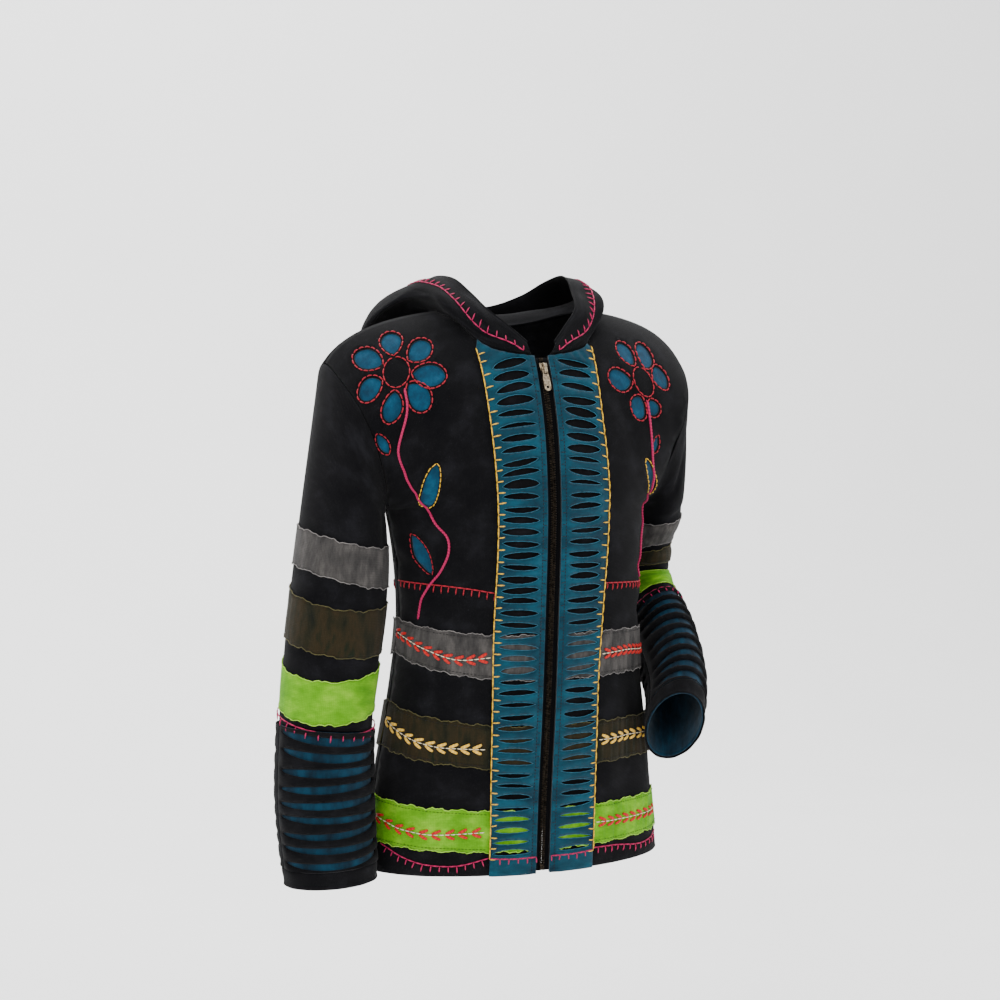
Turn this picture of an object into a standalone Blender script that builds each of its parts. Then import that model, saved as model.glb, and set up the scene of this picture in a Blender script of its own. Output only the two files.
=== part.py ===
"""A hooded patchwork zip jacket, worn and filled out, with nobody in it.

The wearer faces -Y, +Z is up, and the origin lies between the shoulder seams at the neck.
Every table is in millimetres. Its x is given for the wearer's left side, and a side of -1 mirrors it.
Each cloth piece is cut flat in the coordinates of the surface that it lies on, then laid on that surface.
"""

import math

import bmesh
import bpy
import numpy as np
from mathutils.geometry import delaunay_2d_cdt

MM = 0.001
LEFT, RIGHT = 1, -1
SIDE_NAMES = {LEFT: "left", RIGHT: "right"}

# Cloth and seams
WALL = 1.2
PATCH = 1.0
SEAM = 0.3
SEAM_TURN = 0.7
LAYER_GAP = 0.7
ON_PANEL = LAYER_GAP + PATCH
ON_BAND = 2 * ON_PANEL
UNDER_PANEL = -(WALL + LAYER_GAP)
UNDER_FLOWER = -(WALL + 2.7)
UNDER_LEAF = -(WALL + 0.9)
ON_BACK = ON_PANEL + 0.5

# Mesh: spacing across and along on the panels, and points round a sleeve and its cuff
MESH_STEP = 22.0
MESH_LONG = 1.5
RIM_STEP = 27.0
BACK_STEP = 27.0
AROUND, CUFF_AROUND = 18, 12

# Heights on the panels, from the hem along the zip
UNDERARM = 405.0
NECK_FRONT = 571.0
SHOULDER = 666.0
ZIP_HALF = 8.5

# The centre line of each panel, and how far its rows leave that line straight out
FRONT_CENTRE = {
    "h": (0, 90, 205, 285, 375, 405, 450, 495, 530, 571, 597, 628, 666),
    "y": (-65, -72, -85, -91, -97, -98, -95, -88, -77, -59, -45, -21, 24),
    "z": (-612, -524, -407, -328, -239, -209, -163, -118, -82, -41, -20, 2, 13),
    "out": (95, 92, 84, 80, 85, 86, 82, 78, 72, 66, 58, 52, 46),
}
BACK_CENTRE = {
    "h": (0, 90, 205, 285, 375, 405, 450, 495, 540, 580, 612, 640, 666),
    "y": (126, 125, 111, 101, 110, 113, 118, 121, 118, 110, 98, 66, 24),
    "z": (-608, -520, -405, -328, -240, -210, -165, -120, -75, -38, -14, 7, 13),
    "out": (94, 90, 82, 78, 84, 86, 84, 78, 72, 66, 60, 52, 46),
}
# The side seam, from hem to underarm
SIDE_SEAM = {
    "h": (0, 90, 205, 285, 375, 405),
    "x": (176, 166, 148, 141, 147, 152),
    "y": (24, 20, 12, 6, 11, 17),
    "z": (-610, -520, -405, -328, -240, -210),
}
# The armhole, from the underarm up the front to the shoulder at half a turn, and down the back
ARMHOLE = {
    "turn": (0, 0.083, 0.167, 0.25, 0.333, 0.417, 0.5, 0.583, 0.667, 0.75, 0.833, 0.917, 1),
    "x": (152, 159, 170, 183, 197, 208, 213, 212, 206, 195, 180, 163, 152),
    "y": (17, -10, -26, -33, -25, 6, 44, 72, 90, 98, 90, 56, 17),
    "z": (-210, -200, -168, -130, -95, -66, -49, -60, -87, -122, -160, -197, -210),
}
# How each row of a panel comes in to the side seam or the armhole
FRONT_IN = {
    "h": (0, 205, 375, 405, 450, 495, 530, 571, 597, 628, 666),
    "x": (0, 0, 0, -1, -14, -34, -44, -46, -42, -34, -26),
    "y": (-54, -54, -58, -58, -44, -32, -26, -22, -16, -10, -5),
    "z": (0, 0, 0, 0, 6, 10, 16, 26, 38, 50, 60),
}
BACK_IN = {
    "h": (0, 205, 375, 405, 450, 495, 540, 580, 612, 640, 666),
    "x": (0, 0, -3, -7, -16, -32, -44, -46, -42, -34, -26),
    "y": (56, 54, 58, 58, 42, 24, 14, 8, 4, 0, -5),
    "z": (0, 0, 0, 0, 6, 10, 16, 26, 38, 50, 60),
}
# The neckline on each panel: distance out from the centre, and height
FRONT_NECK = {"s": (0, 20, 42, 60, 72, 82, 88), "h": (571, 573, 580, 592, 612, 640, 666)}
BACK_NECK = {"s": (0, 30, 60, 80, 88), "h": (618, 620, 631, 648, 666)}

# Sleeves: rings at a length from the shoulder. Each has its middle x and half size across,
# then the y and z of its front and of its back
GIRTH = 300.0
SLEEVE = 562.0
SLEEVE_RINGS = {
    RIGHT: {
        "l": (165, 240, 315, 395, 455, 562),
        "x": (206, 213, 221, 229, 232, 227),
        "across": (43, 47, 50, 51, 52, 50),
        "front_y": (-45, -40, -42, -47, -50, -53),
        "front_z": (-224, -298, -372, -452, -512, -612),
        "back_y": (75, 72, 62, 51, 44, 37),
        "back_z": (-220, -296, -372, -452, -512, -612),
    },
    LEFT: {
        "l": (165, 215, 262, 312, 382, 440, 500, 562),
        "x": (190, 188, 189, 190, 190, 187, 177, 154),
        "across": (30, 33, 36, 35, 31, 30, 29, 30),
        "front_y": (6, 26, 42, 42, 18, -24, -70, -114),
        "front_z": (-230, -260, -282, -296, -312, -340, -376, -414),
        "back_y": (112, 134, 150, 144, 86, 42, -4, -50),
        "back_z": (-214, -243, -280, -330, -394, -424, -458, -496),
    },
}
# Crumples round the bent elbow: length along, depth, width, and slant round the arm
ELBOW_FOLDS = {
    "l": (200, 234, 272, 308, 342),
    "deep": (2.5, 2.5, 2.0, 2.5, 2.5),
    "wide": (14, 14, 14, 14, 14),
    "slant": (10, -8, 6, -8, 8),
}
# Lengths of the sleeve's rows, closer at the bent elbow
SLEEVE_ROWS = {
    RIGHT: (0, 44, 80, 118, 160, 193, 227, 266, 304, 340, 385.7),
    LEFT: (0, 44, 80, 118, 160, 184, 202, 220, 238, 256, 274, 292, 310, 328, 346, 385.7),
}
ARMHOLE_GAP = 2.3
# Where the sleeve ends and the slashed cuff and its hem band begin
CUFF_TOP, CUFF_HEM = 386.0, 540.0
CUFF_SLASHES = 9
CUFF_SLASH_HALF = 3.2

# Raw-edged bands: bottom and top, as heights on the body and as lengths on the sleeve,
# where the third size is how much lower the band sits on the sleeve's inner side
BODY_BANDS = {"grey": (219, 271), "olive": (121, 168), "lime": (27, 75)}
SLEEVE_BANDS = {"grey": (172, 214, 11), "olive": (240, 292, 7), "lime": (316, 364, 3)}

# Plackets and their slashes
PLACKET_IN, PLACKET_OUT = 8.0, 64.0
SLASHES = 43
SLASH_FIRST, SLASH_LAST = 26.0, 556.0
SLASH_IN, SLASH_OUT = 17.0, 58.0
SLASH_LOW, SLASH_HIGH = 3.6, 5.6

# Flowers on the panels: centre, and the tip of each petal
FLOWERS = {
    RIGHT: {
        "centre": (162, 594),
        "tip_s": (155, 118, 111, 135, 180, 209, 200),
        "tip_h": (640, 612, 571, 547, 549, 590, 634),
    },
    LEFT: {
        "centre": (134, 570),
        "tip_s": (109, 150, 174, 151, 120, 84),
        "tip_h": (606, 616, 590, 540, 528, 558),
    },
}
PETAL_ROOT, PETAL_HALF = 18.0, 9.5
# Leaves: base and tip on the panel, half width
LEAVES = {
    RIGHT: {
        "red_high": ((184, 516), (195, 540), 5),
        "yellow": ((141, 414), (134, 482), 11),
        "red_low": ((137, 338), (163, 380), 9),
    },
    LEFT: {
        "red_high": ((154, 500), (158, 519), 4.5),
        "yellow": ((170, 440), (139, 486), 9),
    },
}

# Hood sections from the zip round to the centre back: the cloth's stations after the neck seam
HOOD_STATIONS = ("rise", "side", "low", "wall", "edge")
HOOD = {
    "round": (0, 0.12, 0.25, 0.37, 0.5, 0.6, 0.7, 0.8, 0.9, 1),
    "rise": (
        (13, -62, -36), (33, -58, -32), (66, -44, -20), (88, -20, 2), (96, 20, 18),
        (102, 52, 20), (98, 92, 12), (70, 114, 2), (36, 125, -6), (0, 128, -8),
    ),
    "side": (
        (14, -63, -33), (34, -58, -25), (68, -43, -11), (90, -17, 12), (102, 20, 25),
        (112, 58, 22), (128, 112, -8), (112, 132, -84), (62, 135, -122), (0, 135, -135),
    ),
    "low": (
        (15, -63, -31), (34, -56, -19), (64, -40, -2), (84, -13, 20), (99, 24, 33),
        (116, 66, 28), (140, 130, -24), (120, 156, -120), (66, 164, -174), (0, 166, -200),
    ),
    "wall": (
        (16, -62, -28), (33, -53, -13), (58, -37, 6), (72, -9, 26), (86, 28, 40),
        (102, 72, 37), (120, 136, 10), (106, 184, -56), (60, 206, -88), (0, 212, -100),
    ),
    "edge": (
        (16, -60, -25), (32, -50, -9), (52, -33, 11), (60, -5, 28), (68, 30, 44),
        (74, 66, 46), (72, 108, 38), (60, 142, 24), (34, 166, 12), (0, 174, 8),
    ),
}

# Zip
TAPE_IN, TAPE_OUT = 2.7, 15.0
ZIP_LOW, ZIP_HIGH = 10.0, 564.0
CHAIN_HALF = 2.3
SLIDER_AT = 556.0
SLIDER_LONG, SLIDER_WIDE, SLIDER_THICK = 13.0, 9.0, 2.8
SLIDER_LIFT = 0.0
BAR_LIFT = 4.4
BRIDGE_HALF, BRIDGE_ROD = 6.0, 1.5
PULL_WIDE, PULL_THICK, PULL_BAR, PULL_EYE, PULL_LONG = 8.0, 1.5, 1.6, 7.6, 27.0

COLOURS = {
    "black_cotton": ("16161b", 0.9, 0.0),
    "teal_cotton": ("25607a", 0.9, 0.0),
    "grey_cotton": ("706e70", 0.92, 0.0),
    "olive_cotton": ("3c3626", 0.92, 0.0),
    "lime_cotton": ("8fc63c", 0.92, 0.0),
    "zip_tape": ("17171a", 0.85, 0.0),
    "antique_brass": ("6a5a3a", 0.45, 1.0),
}


def linear(hex_colour):
    """An sRGB hex colour as linear red, green, blue and full alpha."""
    parts = [int(hex_colour[i : i + 2], 16) / 255 for i in (0, 2, 4)]
    return [c / 12.92 if c <= 0.04045 else ((c + 0.055) / 1.055) ** 2.4 for c in parts] + [1.0]


def make_materials():
    made = {}
    for name, (hex_colour, roughness, metallic) in COLOURS.items():
        material = bpy.data.materials.new(name)
        material.use_nodes = True
        shader = material.node_tree.nodes["Principled BSDF"]
        shader.inputs["Base Color"].default_value = linear(hex_colour)
        shader.inputs["Roughness"].default_value = roughness
        shader.inputs["Metallic"].default_value = metallic
        made[name] = material
    return made


def smooth(knots, values, at):
    """A smooth curve through a table's rows, read at one or many places."""
    knots = np.asarray(knots, float)
    values = np.asarray(values, float).reshape(len(knots), -1)
    at = np.atleast_1d(np.asarray(at, float))
    step = np.diff(knots)[:, None]
    rise = np.diff(values, axis=0) / step
    inner = (rise[:-1] * step[1:] + rise[1:] * step[:-1]) / (step[1:] + step[:-1])
    slope = np.vstack([rise[:1], inner, rise[-1:]])
    k = np.clip(np.searchsorted(knots, at, side="right") - 1, 0, len(step) - 1)
    span = step[k]
    f = (at[:, None] - knots[k][:, None]) / span
    start = (2 * f**3 - 3 * f**2 + 1) * values[k] + (f**3 - 2 * f**2 + f) * span * slope[k]
    end = (3 * f**2 - 2 * f**3) * values[k + 1] + (f**3 - f**2) * span * slope[k + 1]
    return start + end


def columns(table, key, names, at):
    return smooth(table[key], np.column_stack([table[n] for n in names]), at)


def wavy(at, seed, size):
    """An uneven raw edge, repeatable for each seed."""
    at = np.asarray(at, float)
    waves = ((31.0, 1.0), (17.0, 2.3), (9.5, 4.1))
    return size * sum(np.sin(at * 2 * math.pi / w + seed * p) / (1 + i) for i, (w, p) in enumerate(waves))


class Surface:
    """Places of a cloth surface by flat coordinates: across and along, both in millimetres."""

    def __init__(self, places, along, width, outward, loop=False):
        self.places = places
        self.along = along
        self.width = width
        self.loop = loop
        self.outward = outward
        across = (np.roll(places, -1, 1) - np.roll(places, 1, 1)) if loop else np.gradient(places, axis=1)
        normal = np.cross(across, np.gradient(places, axis=0)) * outward
        self.normal = normal / np.maximum(np.linalg.norm(normal, axis=2, keepdims=True), 1e-9)

    def width_at(self, along):
        return np.interp(along, np.linspace(*self.along, len(self.width)), self.width)

    def at(self, across, along, lift=0.0):
        """Places for the wearer's left. A negative distance across lies on the mirrored half."""
        across, along = np.broadcast_arrays(np.asarray(across, float), np.asarray(along, float))
        rows, cols = self.places.shape[:2]
        share = np.abs(across) / self.width_at(along)
        i = np.clip((along - self.along[0]) / (self.along[1] - self.along[0]), 0, 1) * (rows - 1)
        if self.loop:
            j = (across / self.width_at(along)) % 1 * cols
        else:
            j = np.clip(share, 0, 1) * (cols - 1)
        i0 = np.minimum(i.astype(int), rows - 2)
        j0 = j.astype(int) % cols if self.loop else np.minimum(j.astype(int), cols - 2)
        j1 = (j0 + 1) % cols
        fi, fj = (i - i0)[..., None], (j - np.floor(j) if self.loop else j - j0)[..., None]

        def blend(grid):
            low = grid[i0, j0] * (1 - fj) + grid[i0, j1] * fj
            high = grid[i0 + 1, j0] * (1 - fj) + grid[i0 + 1, j1] * fj
            return low * (1 - fi) + high * fi

        normal = blend(self.normal)
        normal = normal / np.linalg.norm(normal, axis=-1, keepdims=True)
        found = blend(self.places) + normal * np.asarray(lift, float)[..., None]
        if not self.loop:
            found[..., 0] *= np.where(across < 0, -1, 1)
        return found


def panel_surface(centre, come_in, front):
    """The front or back of the body, from the hem to the shoulder seam."""
    along = np.linspace(0, SHOULDER, 223)
    start = np.column_stack([np.zeros_like(along), columns(centre, "h", ("y", "z"), along)])
    leave = start + np.column_stack([smooth(centre["h"], centre["out"], along), 0 * along, 0 * along])
    side = columns(SIDE_SEAM, "h", "xyz", np.minimum(along, UNDERARM))
    turn = np.clip((along - UNDERARM) / (SHOULDER - UNDERARM), 0, 1) * 0.5
    arm = columns(ARMHOLE, "turn", "xyz", turn if front else 1 - turn)
    end = np.where((along <= UNDERARM)[:, None], side, arm)
    come = end + columns(come_in, "h", "xyz", along)
    t = np.linspace(0, 1, 241)[None, :, None]
    curve = start[:, None] * (1 - t) ** 3 + 3 * leave[:, None] * (1 - t) ** 2 * t
    curve = curve + 3 * come[:, None] * (1 - t) * t**2 + end[:, None] * t**3
    length = np.concatenate(
        [np.zeros((len(along), 1)), np.cumsum(np.linalg.norm(np.diff(curve, axis=1), axis=2), axis=1)], axis=1
    )
    even = np.linspace(0, 1, 121)
    places = np.array(
        [
            np.column_stack([np.interp(even * row[-1], row, points[:, k]) for k in range(3)])
            for row, points in zip(length, curve)
        ]
    )
    return Surface(places, (0, SHOULDER), length[:, -1], 1 if front else -1)


def sleeve_surface(side):
    """A sleeve from the armhole to the cuff. Across runs round it from the underarm, by the front."""
    rings = SLEEVE_RINGS[side]
    turn = np.arange(96) / 96
    fore = np.column_stack([rings["x"], rings["front_y"], rings["front_z"]]).astype(float)
    rear = np.column_stack([rings["x"], rings["back_y"], rings["back_z"]]).astype(float)
    centres, forward = (fore + rear) / 2, (fore - rear) / 2
    heading = np.gradient(centres, axis=0)
    heading /= np.linalg.norm(heading, axis=1, keepdims=True)
    inward = np.array([-1.0, 0, 0]) + heading * heading[:, :1]
    inward *= np.array(rings["across"], float)[:, None] / np.linalg.norm(inward, axis=1, keepdims=True)
    angle = 2 * math.pi * turn[None, :, None]
    loops = centres[:, None] + np.cos(angle) * inward[:, None] + np.sin(angle) * forward[:, None]
    armhole = columns(ARMHOLE, "turn", "xyz", turn)
    knots = (0,) + rings["l"]
    stack = np.concatenate([armhole[None], loops]).reshape(len(knots), -1)
    along = np.linspace(0, SLEEVE, 282)
    places = smooth(knots, stack, along).reshape(len(along), len(turn), 3)
    surface = Surface(places, (0, SLEEVE), np.full(len(along), GIRTH), -1, loop=True)
    if side == LEFT:
        places = places + surface.normal * elbow_folds(along[:, None], turn[None, :])[..., None]
        surface = Surface(places, (0, SLEEVE), surface.width, -1, loop=True)
    return surface


def elbow_folds(along, turn):
    """Soft troughs across the front of the bent elbow, fading round to its point."""
    deep = 0
    for at, size, wide, slant in zip(*ELBOW_FOLDS.values()):
        swing = at + slant * np.sin(2 * math.pi * turn)
        deep = deep - size * np.exp(-(((along - swing) / wide) ** 2)) * (0.45 - 0.55 * np.sin(2 * math.pi * (turn + 0.5)))
    return deep * 0.8


def neck_place(share, panels):
    """The neck seam, from the zip at 0 over the shoulder at a half to the centre back at 1."""
    share = np.asarray(share, float)
    front = np.clip(share * 2, 0, 1) * (len(FRONT_NECK["s"]) - 1)
    back = np.clip(2 - share * 2, 0, 1) * (len(BACK_NECK["s"]) - 1)
    steps = np.arange(len(FRONT_NECK["s"]))
    flat = columns({"k": steps, **FRONT_NECK}, "k", "sh", front)
    flat[:, 0] = np.maximum(flat[:, 0], ZIP_HALF + 2)
    found = panels["front"].at(flat[:, 0], flat[:, 1])
    flat = columns({"k": steps[: len(BACK_NECK["s"])], **BACK_NECK}, "k", "sh", back)
    behind = panels["back"].at(flat[:, 0], flat[:, 1])
    return np.where((share <= 0.5)[:, None], found, behind)


def hood_surface(panels):
    """Half of the hood, laid back. Across goes round the neck and along goes from the seam to the edge."""
    share = np.linspace(0, 1, 97)
    stations = [neck_place(share, panels) + (0, 0, 1.2)]
    stations += [smooth(HOOD["round"], HOOD[name], share) for name in HOOD_STATIONS]
    along = np.linspace(0, 1, 61)
    stack = np.array(stations).reshape(len(stations), -1)
    places = smooth(np.linspace(0, 1, len(stations)), stack, along).reshape(len(along), len(share), 3)
    return Surface(places, (0, 1), np.ones(len(along)), 1)


def grid_faces(rows, cols, loop=False):
    """Quads of a grid whose points run across first."""
    last = cols if loop else cols - 1
    return [
        (r * cols + c, r * cols + (c + 1) % cols, (r + 1) * cols + (c + 1) % cols, (r + 1) * cols + c)
        for r in range(rows - 1)
        for c in range(last)
    ]


def inside(points, outline):
    """Which points lie inside a closed outline."""
    found = np.zeros(len(points), bool)
    x, y = points[:, 0], points[:, 1]
    for (x0, y0), (x1, y1) in zip(outline, np.roll(outline, -1, 0)):
        crosses = (y0 > y) != (y1 > y)
        with np.errstate(divide="ignore", invalid="ignore"):
            found ^= crosses & (x < (x1 - x0) * (y - y0) / (y1 - y0) + x0)
    return found


def cut_out(outline, holes, step, stretch=1.0):
    """Triangles that fill an outline round its holes, with inner points about a step apart.

    The points are stretch times as far apart along the piece as across it.
    """
    shape = np.array([1.0, 1.0 / stretch])
    outline = np.asarray(outline, float) * shape
    holes = [np.asarray(hole, float) * shape for hole in holes]
    low, high = outline.min(0), outline.max(0)
    rows = np.arange(low[1] + step / 2, high[1], step * 0.87)
    inner = [
        (x + (step / 2 if k % 2 else 0), y)
        for k, y in enumerate(rows)
        for x in np.arange(low[0] + step / 2, high[0], step)
    ]
    inner = np.array(inner).reshape(-1, 2)
    rim = np.vstack([outline, *holes])
    keep = inside(inner, outline)
    for hole in holes:
        keep &= ~inside(inner, hole)
    if len(inner):
        near = np.linalg.norm(inner[:, None] - rim[None], axis=2).min(1)
        keep &= near > step * 0.5
        inner = inner[keep]
    points = np.vstack([rim, inner])
    edges, first = [], 0
    for loop in (outline, *holes):
        edges += [(first + k, first + (k + 1) % len(loop)) for k in range(len(loop))]
        first += len(loop)
    found = delaunay_2d_cdt([tuple(p) for p in points], edges, [], 0, 1e-5)
    flat = np.array([tuple(p) for p in found[0]])
    faces = [f for f in found[2]]
    middle = np.array([flat[list(f)].mean(0) for f in faces])
    kept = inside(middle, outline)
    for hole in holes:
        kept &= ~inside(middle, hole)
    return flat / shape, [f for f, k in zip(faces, kept) if k]


class Maker:
    """Makes each cloth piece as an object: an open surface with Solidify for its thickness."""

    def __init__(self, collection, materials):
        self.collection = collection
        self.materials = materials

    def add(self, name, places, faces, material, wall, smooth_shade=True):
        mesh = bpy.data.meshes.new(name)
        mesh.from_pydata([tuple(p) for p in np.asarray(places) * MM], [], [tuple(f) for f in faces])
        mesh.materials.append(self.materials[material])
        used = bpy.data.objects.new(name, mesh)
        self.collection.objects.link(used)
        if smooth_shade:
            mesh.shade_smooth()
        if wall:
            solid = used.modifiers.new("cloth thickness", "SOLIDIFY")
            solid.thickness = wall * MM
            solid.offset = -1
        return used

    def lay(self, name, surface, side, flat, faces, lift, wall, material):
        flat = np.asarray(flat, float)
        places = surface.at(flat[:, 0], flat[:, 1], np.full(len(flat), float(lift)))
        places[:, 0] *= side
        faces = [f[::-1] for f in faces] if surface.outward * side < 0 else faces
        return self.add(name, places, faces, material, wall)


def line(start, end, step):
    """Places from start to just before end, about a step apart."""
    start, end = np.asarray(start, float), np.asarray(end, float)
    count = max(1, round(float(np.linalg.norm(end - start)) / step))
    return [tuple(start + (end - start) * k / count) for k in range(count)]


def panel_outline(surface, neck, inner):
    """Half of a panel, from the centre edge along the hem, up the side, the shoulder and the neckline."""
    top = SHOULDER - SEAM_TURN
    outline = line((inner, 0), (surface.width_at(0) - SEAM, 0), MESH_STEP)
    # The armhole's points are those of the sleeve's ring
    heights = list(np.linspace(0, UNDERARM, 16)[:-1])
    heights += list(np.linspace(UNDERARM, SHOULDER, AROUND // 2 + 1)[:-1]) + [top]
    outline += [(float(surface.width_at(h)) - SEAM, float(h)) for h in heights]
    outline += line((float(surface.width_at(top)) - SEAM, top), (neck["s"][-1], top), MESH_STEP)
    knots = np.arange(len(neck["s"]))
    for k in np.linspace(knots[-1], 0, 2 * len(knots) - 1):
        s, h = columns({"k": knots, **neck}, "k", "sh", k)[0]
        outline.append((max(float(s), inner), min(float(h), top)))
    while len(outline) > 1 and outline[-1][0] <= inner and outline[-2][0] <= inner:
        outline.pop()
    if inner:
        outline += [(inner, h) for h in zip_rows(0, outline[-1][1])[-2:0:-1]]
    return outline


def zip_rows(low, high):
    """Heights shared by every piece beside the zip, so that their surfaces stay parallel."""
    between = [h for h in np.arange(0, NECK_FRONT, RIM_STEP) if low + 4 < h < high - 4]
    return [float(low), *map(float, between), float(high)]


def tidy_loop(points):
    """Drops points that lie on the one before them."""
    kept = []
    for point in points:
        if not kept or math.dist(kept[-1], point) > 0.5:
            kept.append(tuple(map(float, point)))
    if math.dist(kept[0], kept[-1]) <= 0.5:
        kept.pop()
    return kept


def leaf_outline(base, tip, half, widest=0.85, points=8):
    """A leaf between two places, or a petal when its widest part lies towards the tip."""
    base, tip = np.array(base, float), np.array(tip, float)
    way = tip - base
    side = np.array([-way[1], way[0]]) / np.linalg.norm(way)
    steps = np.linspace(0, 1, points // 2 + 1)
    swell = np.sin(math.pi * steps**widest) * half
    right = [base + way * t + side * w for t, w in zip(steps, swell)]
    left = [base + way * t - side * w for t, w in zip(steps[1:-1], swell[1:-1])]
    return [tuple(p) for p in right + left[::-1]]


def petals(side):
    """The petal windows of a flower, each from near its ring to its tip."""
    flower = FLOWERS[side]
    centre = np.array(flower["centre"], float)
    found = []
    for tip in zip(flower["tip_s"], flower["tip_h"]):
        root = centre + (tip - centre) * PETAL_ROOT / math.dist(tip, centre)
        found.append(leaf_outline(root, tip, PETAL_HALF, 1.3, 10))
    return found


def fronts(maker, panels):
    surface = panels["front"]
    for side, word in SIDE_NAMES.items():
        windows = petals(side) + [leaf_outline(*leaf) for leaf in LEAVES[side].values()]
        outline = tidy_loop(panel_outline(surface, FRONT_NECK, ZIP_HALF))
        flat, faces = cut_out(outline, windows, MESH_STEP, MESH_LONG)
        maker.lay(f"front_{word}", surface, side, flat, faces, 0, WALL, "black_cotton")
        applique(maker, surface, side, word)


def applique(maker, surface, side, word):
    """Teal cloth sewn behind the flower and leaf windows."""
    centre = np.array(FLOWERS[side]["centre"], float)
    windows = np.vstack(petals(side)) - centre
    patch = []
    for turn in np.linspace(0, 2 * math.pi, 17)[:-1]:
        way = np.array([math.sin(turn), math.cos(turn)])
        s, h = centre + way * (float((windows @ way).max()) + 4)
        h = min(h, SHOULDER - 8)
        patch.append((min(s, float(surface.width_at(h)) - 5), h))
    flat, faces = cut_out(patch, [], 16)
    maker.lay(f"flower_backing_{word}", surface, side, flat, faces, UNDER_FLOWER, PATCH, "teal_cotton")
    for name, (base, tip, half) in LEAVES[side].items():
        way = (np.array(tip) - np.array(base)) / math.dist(tip, base) * 5
        flat, faces = cut_out(leaf_outline(base - way, tip + way, half + 3), [], 20)
        maker.lay(f"leaf_backing_{name}_{word}", surface, side, flat, faces, UNDER_LEAF, PATCH, "teal_cotton")


def back(maker, panels):
    surface = panels["back"]
    half = tidy_loop(panel_outline(surface, BACK_NECK, 0.0))
    other = [(-s, h) for s, h in half[::-1] if s > 0.5]
    half = [p for p in half if p[0] > 0.5 or p[1] in (0.0, half[-1][1])]
    flat, faces = cut_out(tidy_loop(half + other), [], BACK_STEP, MESH_LONG)
    maker.lay("back", surface, LEFT, flat, faces, 0, WALL, "black_cotton")


def ribbon(surface, low, high, across, rows, seed, size, ends):
    """A band with raw, wavy edges, as flat places and faces."""
    share = np.linspace(0, 1, rows)[:, None]
    bottom = low + wavy(across, seed, size)
    top = high + wavy(across, seed + 1.7, size)
    along = bottom * (1 - share) + top * share
    flat = np.stack([np.broadcast_to(across, along.shape), along], axis=2)
    if ends:
        for r in range(rows):
            flat[r, [0, -1], 0] = ends(flat[r, [0, -1], 1])
    return flat.reshape(-1, 2)


def body_bands(maker, panels):
    for k, (cloth, (low, high)) in enumerate(BODY_BANDS.items()):
        for side, word in SIDE_NAMES.items():
            surface = panels["front"]
            width = float(surface.width_at((low + high) / 2))
            across = np.linspace(ZIP_HALF + 1, width - 1, 14)
            ends = lambda h, s=surface: np.array([ZIP_HALF + 1, s.width_at(h[1]) - SEAM])
            flat = ribbon(surface, low, high, across, 3, 2.1 * k + side, 1.6, ends)
            maker.lay(
                f"band_{cloth}_front_{word}", surface, side, flat, grid_faces(3, 14), ON_PANEL, PATCH, f"{cloth}_cotton"
            )
        surface = panels["back"]
        width = float(surface.width_at((low + high) / 2)) - 1
        across = np.linspace(-width, width, 23)
        ends = lambda h, s=surface: np.array([-1, 1]) * (s.width_at(h) - SEAM)
        flat = ribbon(surface, low, high, across, 3, 2.1 * k + 5, 1.6, ends)
        maker.lay(f"band_{cloth}_back", surface, LEFT, flat, grid_faces(3, 23), ON_BACK, PATCH, f"{cloth}_cotton")


def tube(maker, name, surface, side, along, around, lift, wall, material, edge=0.0, seed=0.0, droop=0.0, first=None):
    """A cloth tube between two lengths of a sleeve, open at both ends."""
    across = np.arange(around) / around * GIRTH
    hang = droop * (1 + np.cos(2 * math.pi * across / GIRTH))
    rows = []
    for k, at in enumerate(along):
        rough = edge if k in (0, len(along) - 1) else 0.0
        rows.append(np.column_stack([across, at + hang + wavy(across, seed + k, rough)]))
    if first:
        rows[0][:, 1] = first(surface, across)
    flat = np.vstack(rows)
    return maker.lay(name, surface, side, flat, grid_faces(len(along), around, True), lift, wall, material)


def slash(start, end, middle, half, uneven, points=8):
    """A long slit whose raw lips curl apart, uneven in height and slope."""
    steps = np.linspace(0, 1, points // 2 + 1)
    lean, swell_a, swell_b = uneven
    across = start + (end - start) * steps
    mid = middle + lean * (steps - 0.5)
    open_by = half * np.sin(math.pi * steps) ** 0.6
    upper = [(a, m + w * swell_a) for a, m, w in zip(across, mid, open_by)]
    lower = [(a, m - w * swell_b) for a, m, w in zip(across[1:-1], mid[1:-1], open_by[1:-1])]
    return upper + lower[::-1]


def sleeve_start(surface, across):
    """The length at which a sleeve stands clear of the armhole's edge, for each place round it."""
    rate = np.linalg.norm(surface.at(across, 12) - surface.at(across, 0), axis=1) / 12
    wider = 1 + np.cos(2 * math.pi * across / GIRTH).clip(0)
    return np.clip(ARMHOLE_GAP * wider / rate, 0, 36)


def sleeves(maker, arms):
    for side, word in SIDE_NAMES.items():
        surface = arms[side]
        rows = SLEEVE_ROWS[side]
        tube(maker, f"sleeve_{word}", surface, side, rows, AROUND, 0, WALL, "black_cotton", first=sleeve_start)
        for k, (cloth, (low, high, droop)) in enumerate(SLEEVE_BANDS.items()):
            along = [low, *(r for r in rows if low + 5 < r < high - 5), high]
            name = f"band_{cloth}_sleeve_{word}"
            tube(maker, name, surface, side, along, AROUND, ON_PANEL, PATCH, f"{cloth}_cotton", 1.5, k + side, droop)
        along = np.linspace(CUFF_TOP + SEAM, SLEEVE - 1, 6)
        tube(maker, f"cuff_under_{word}", surface, side, along, CUFF_AROUND, -SEAM, WALL, "teal_cotton")
        along = [CUFF_HEM + SEAM, SLEEVE]
        tube(maker, f"cuff_hem_{word}", surface, side, along, CUFF_AROUND, ON_PANEL, PATCH, "black_cotton")
        slashed_cuff(maker, surface, side, word)


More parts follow.
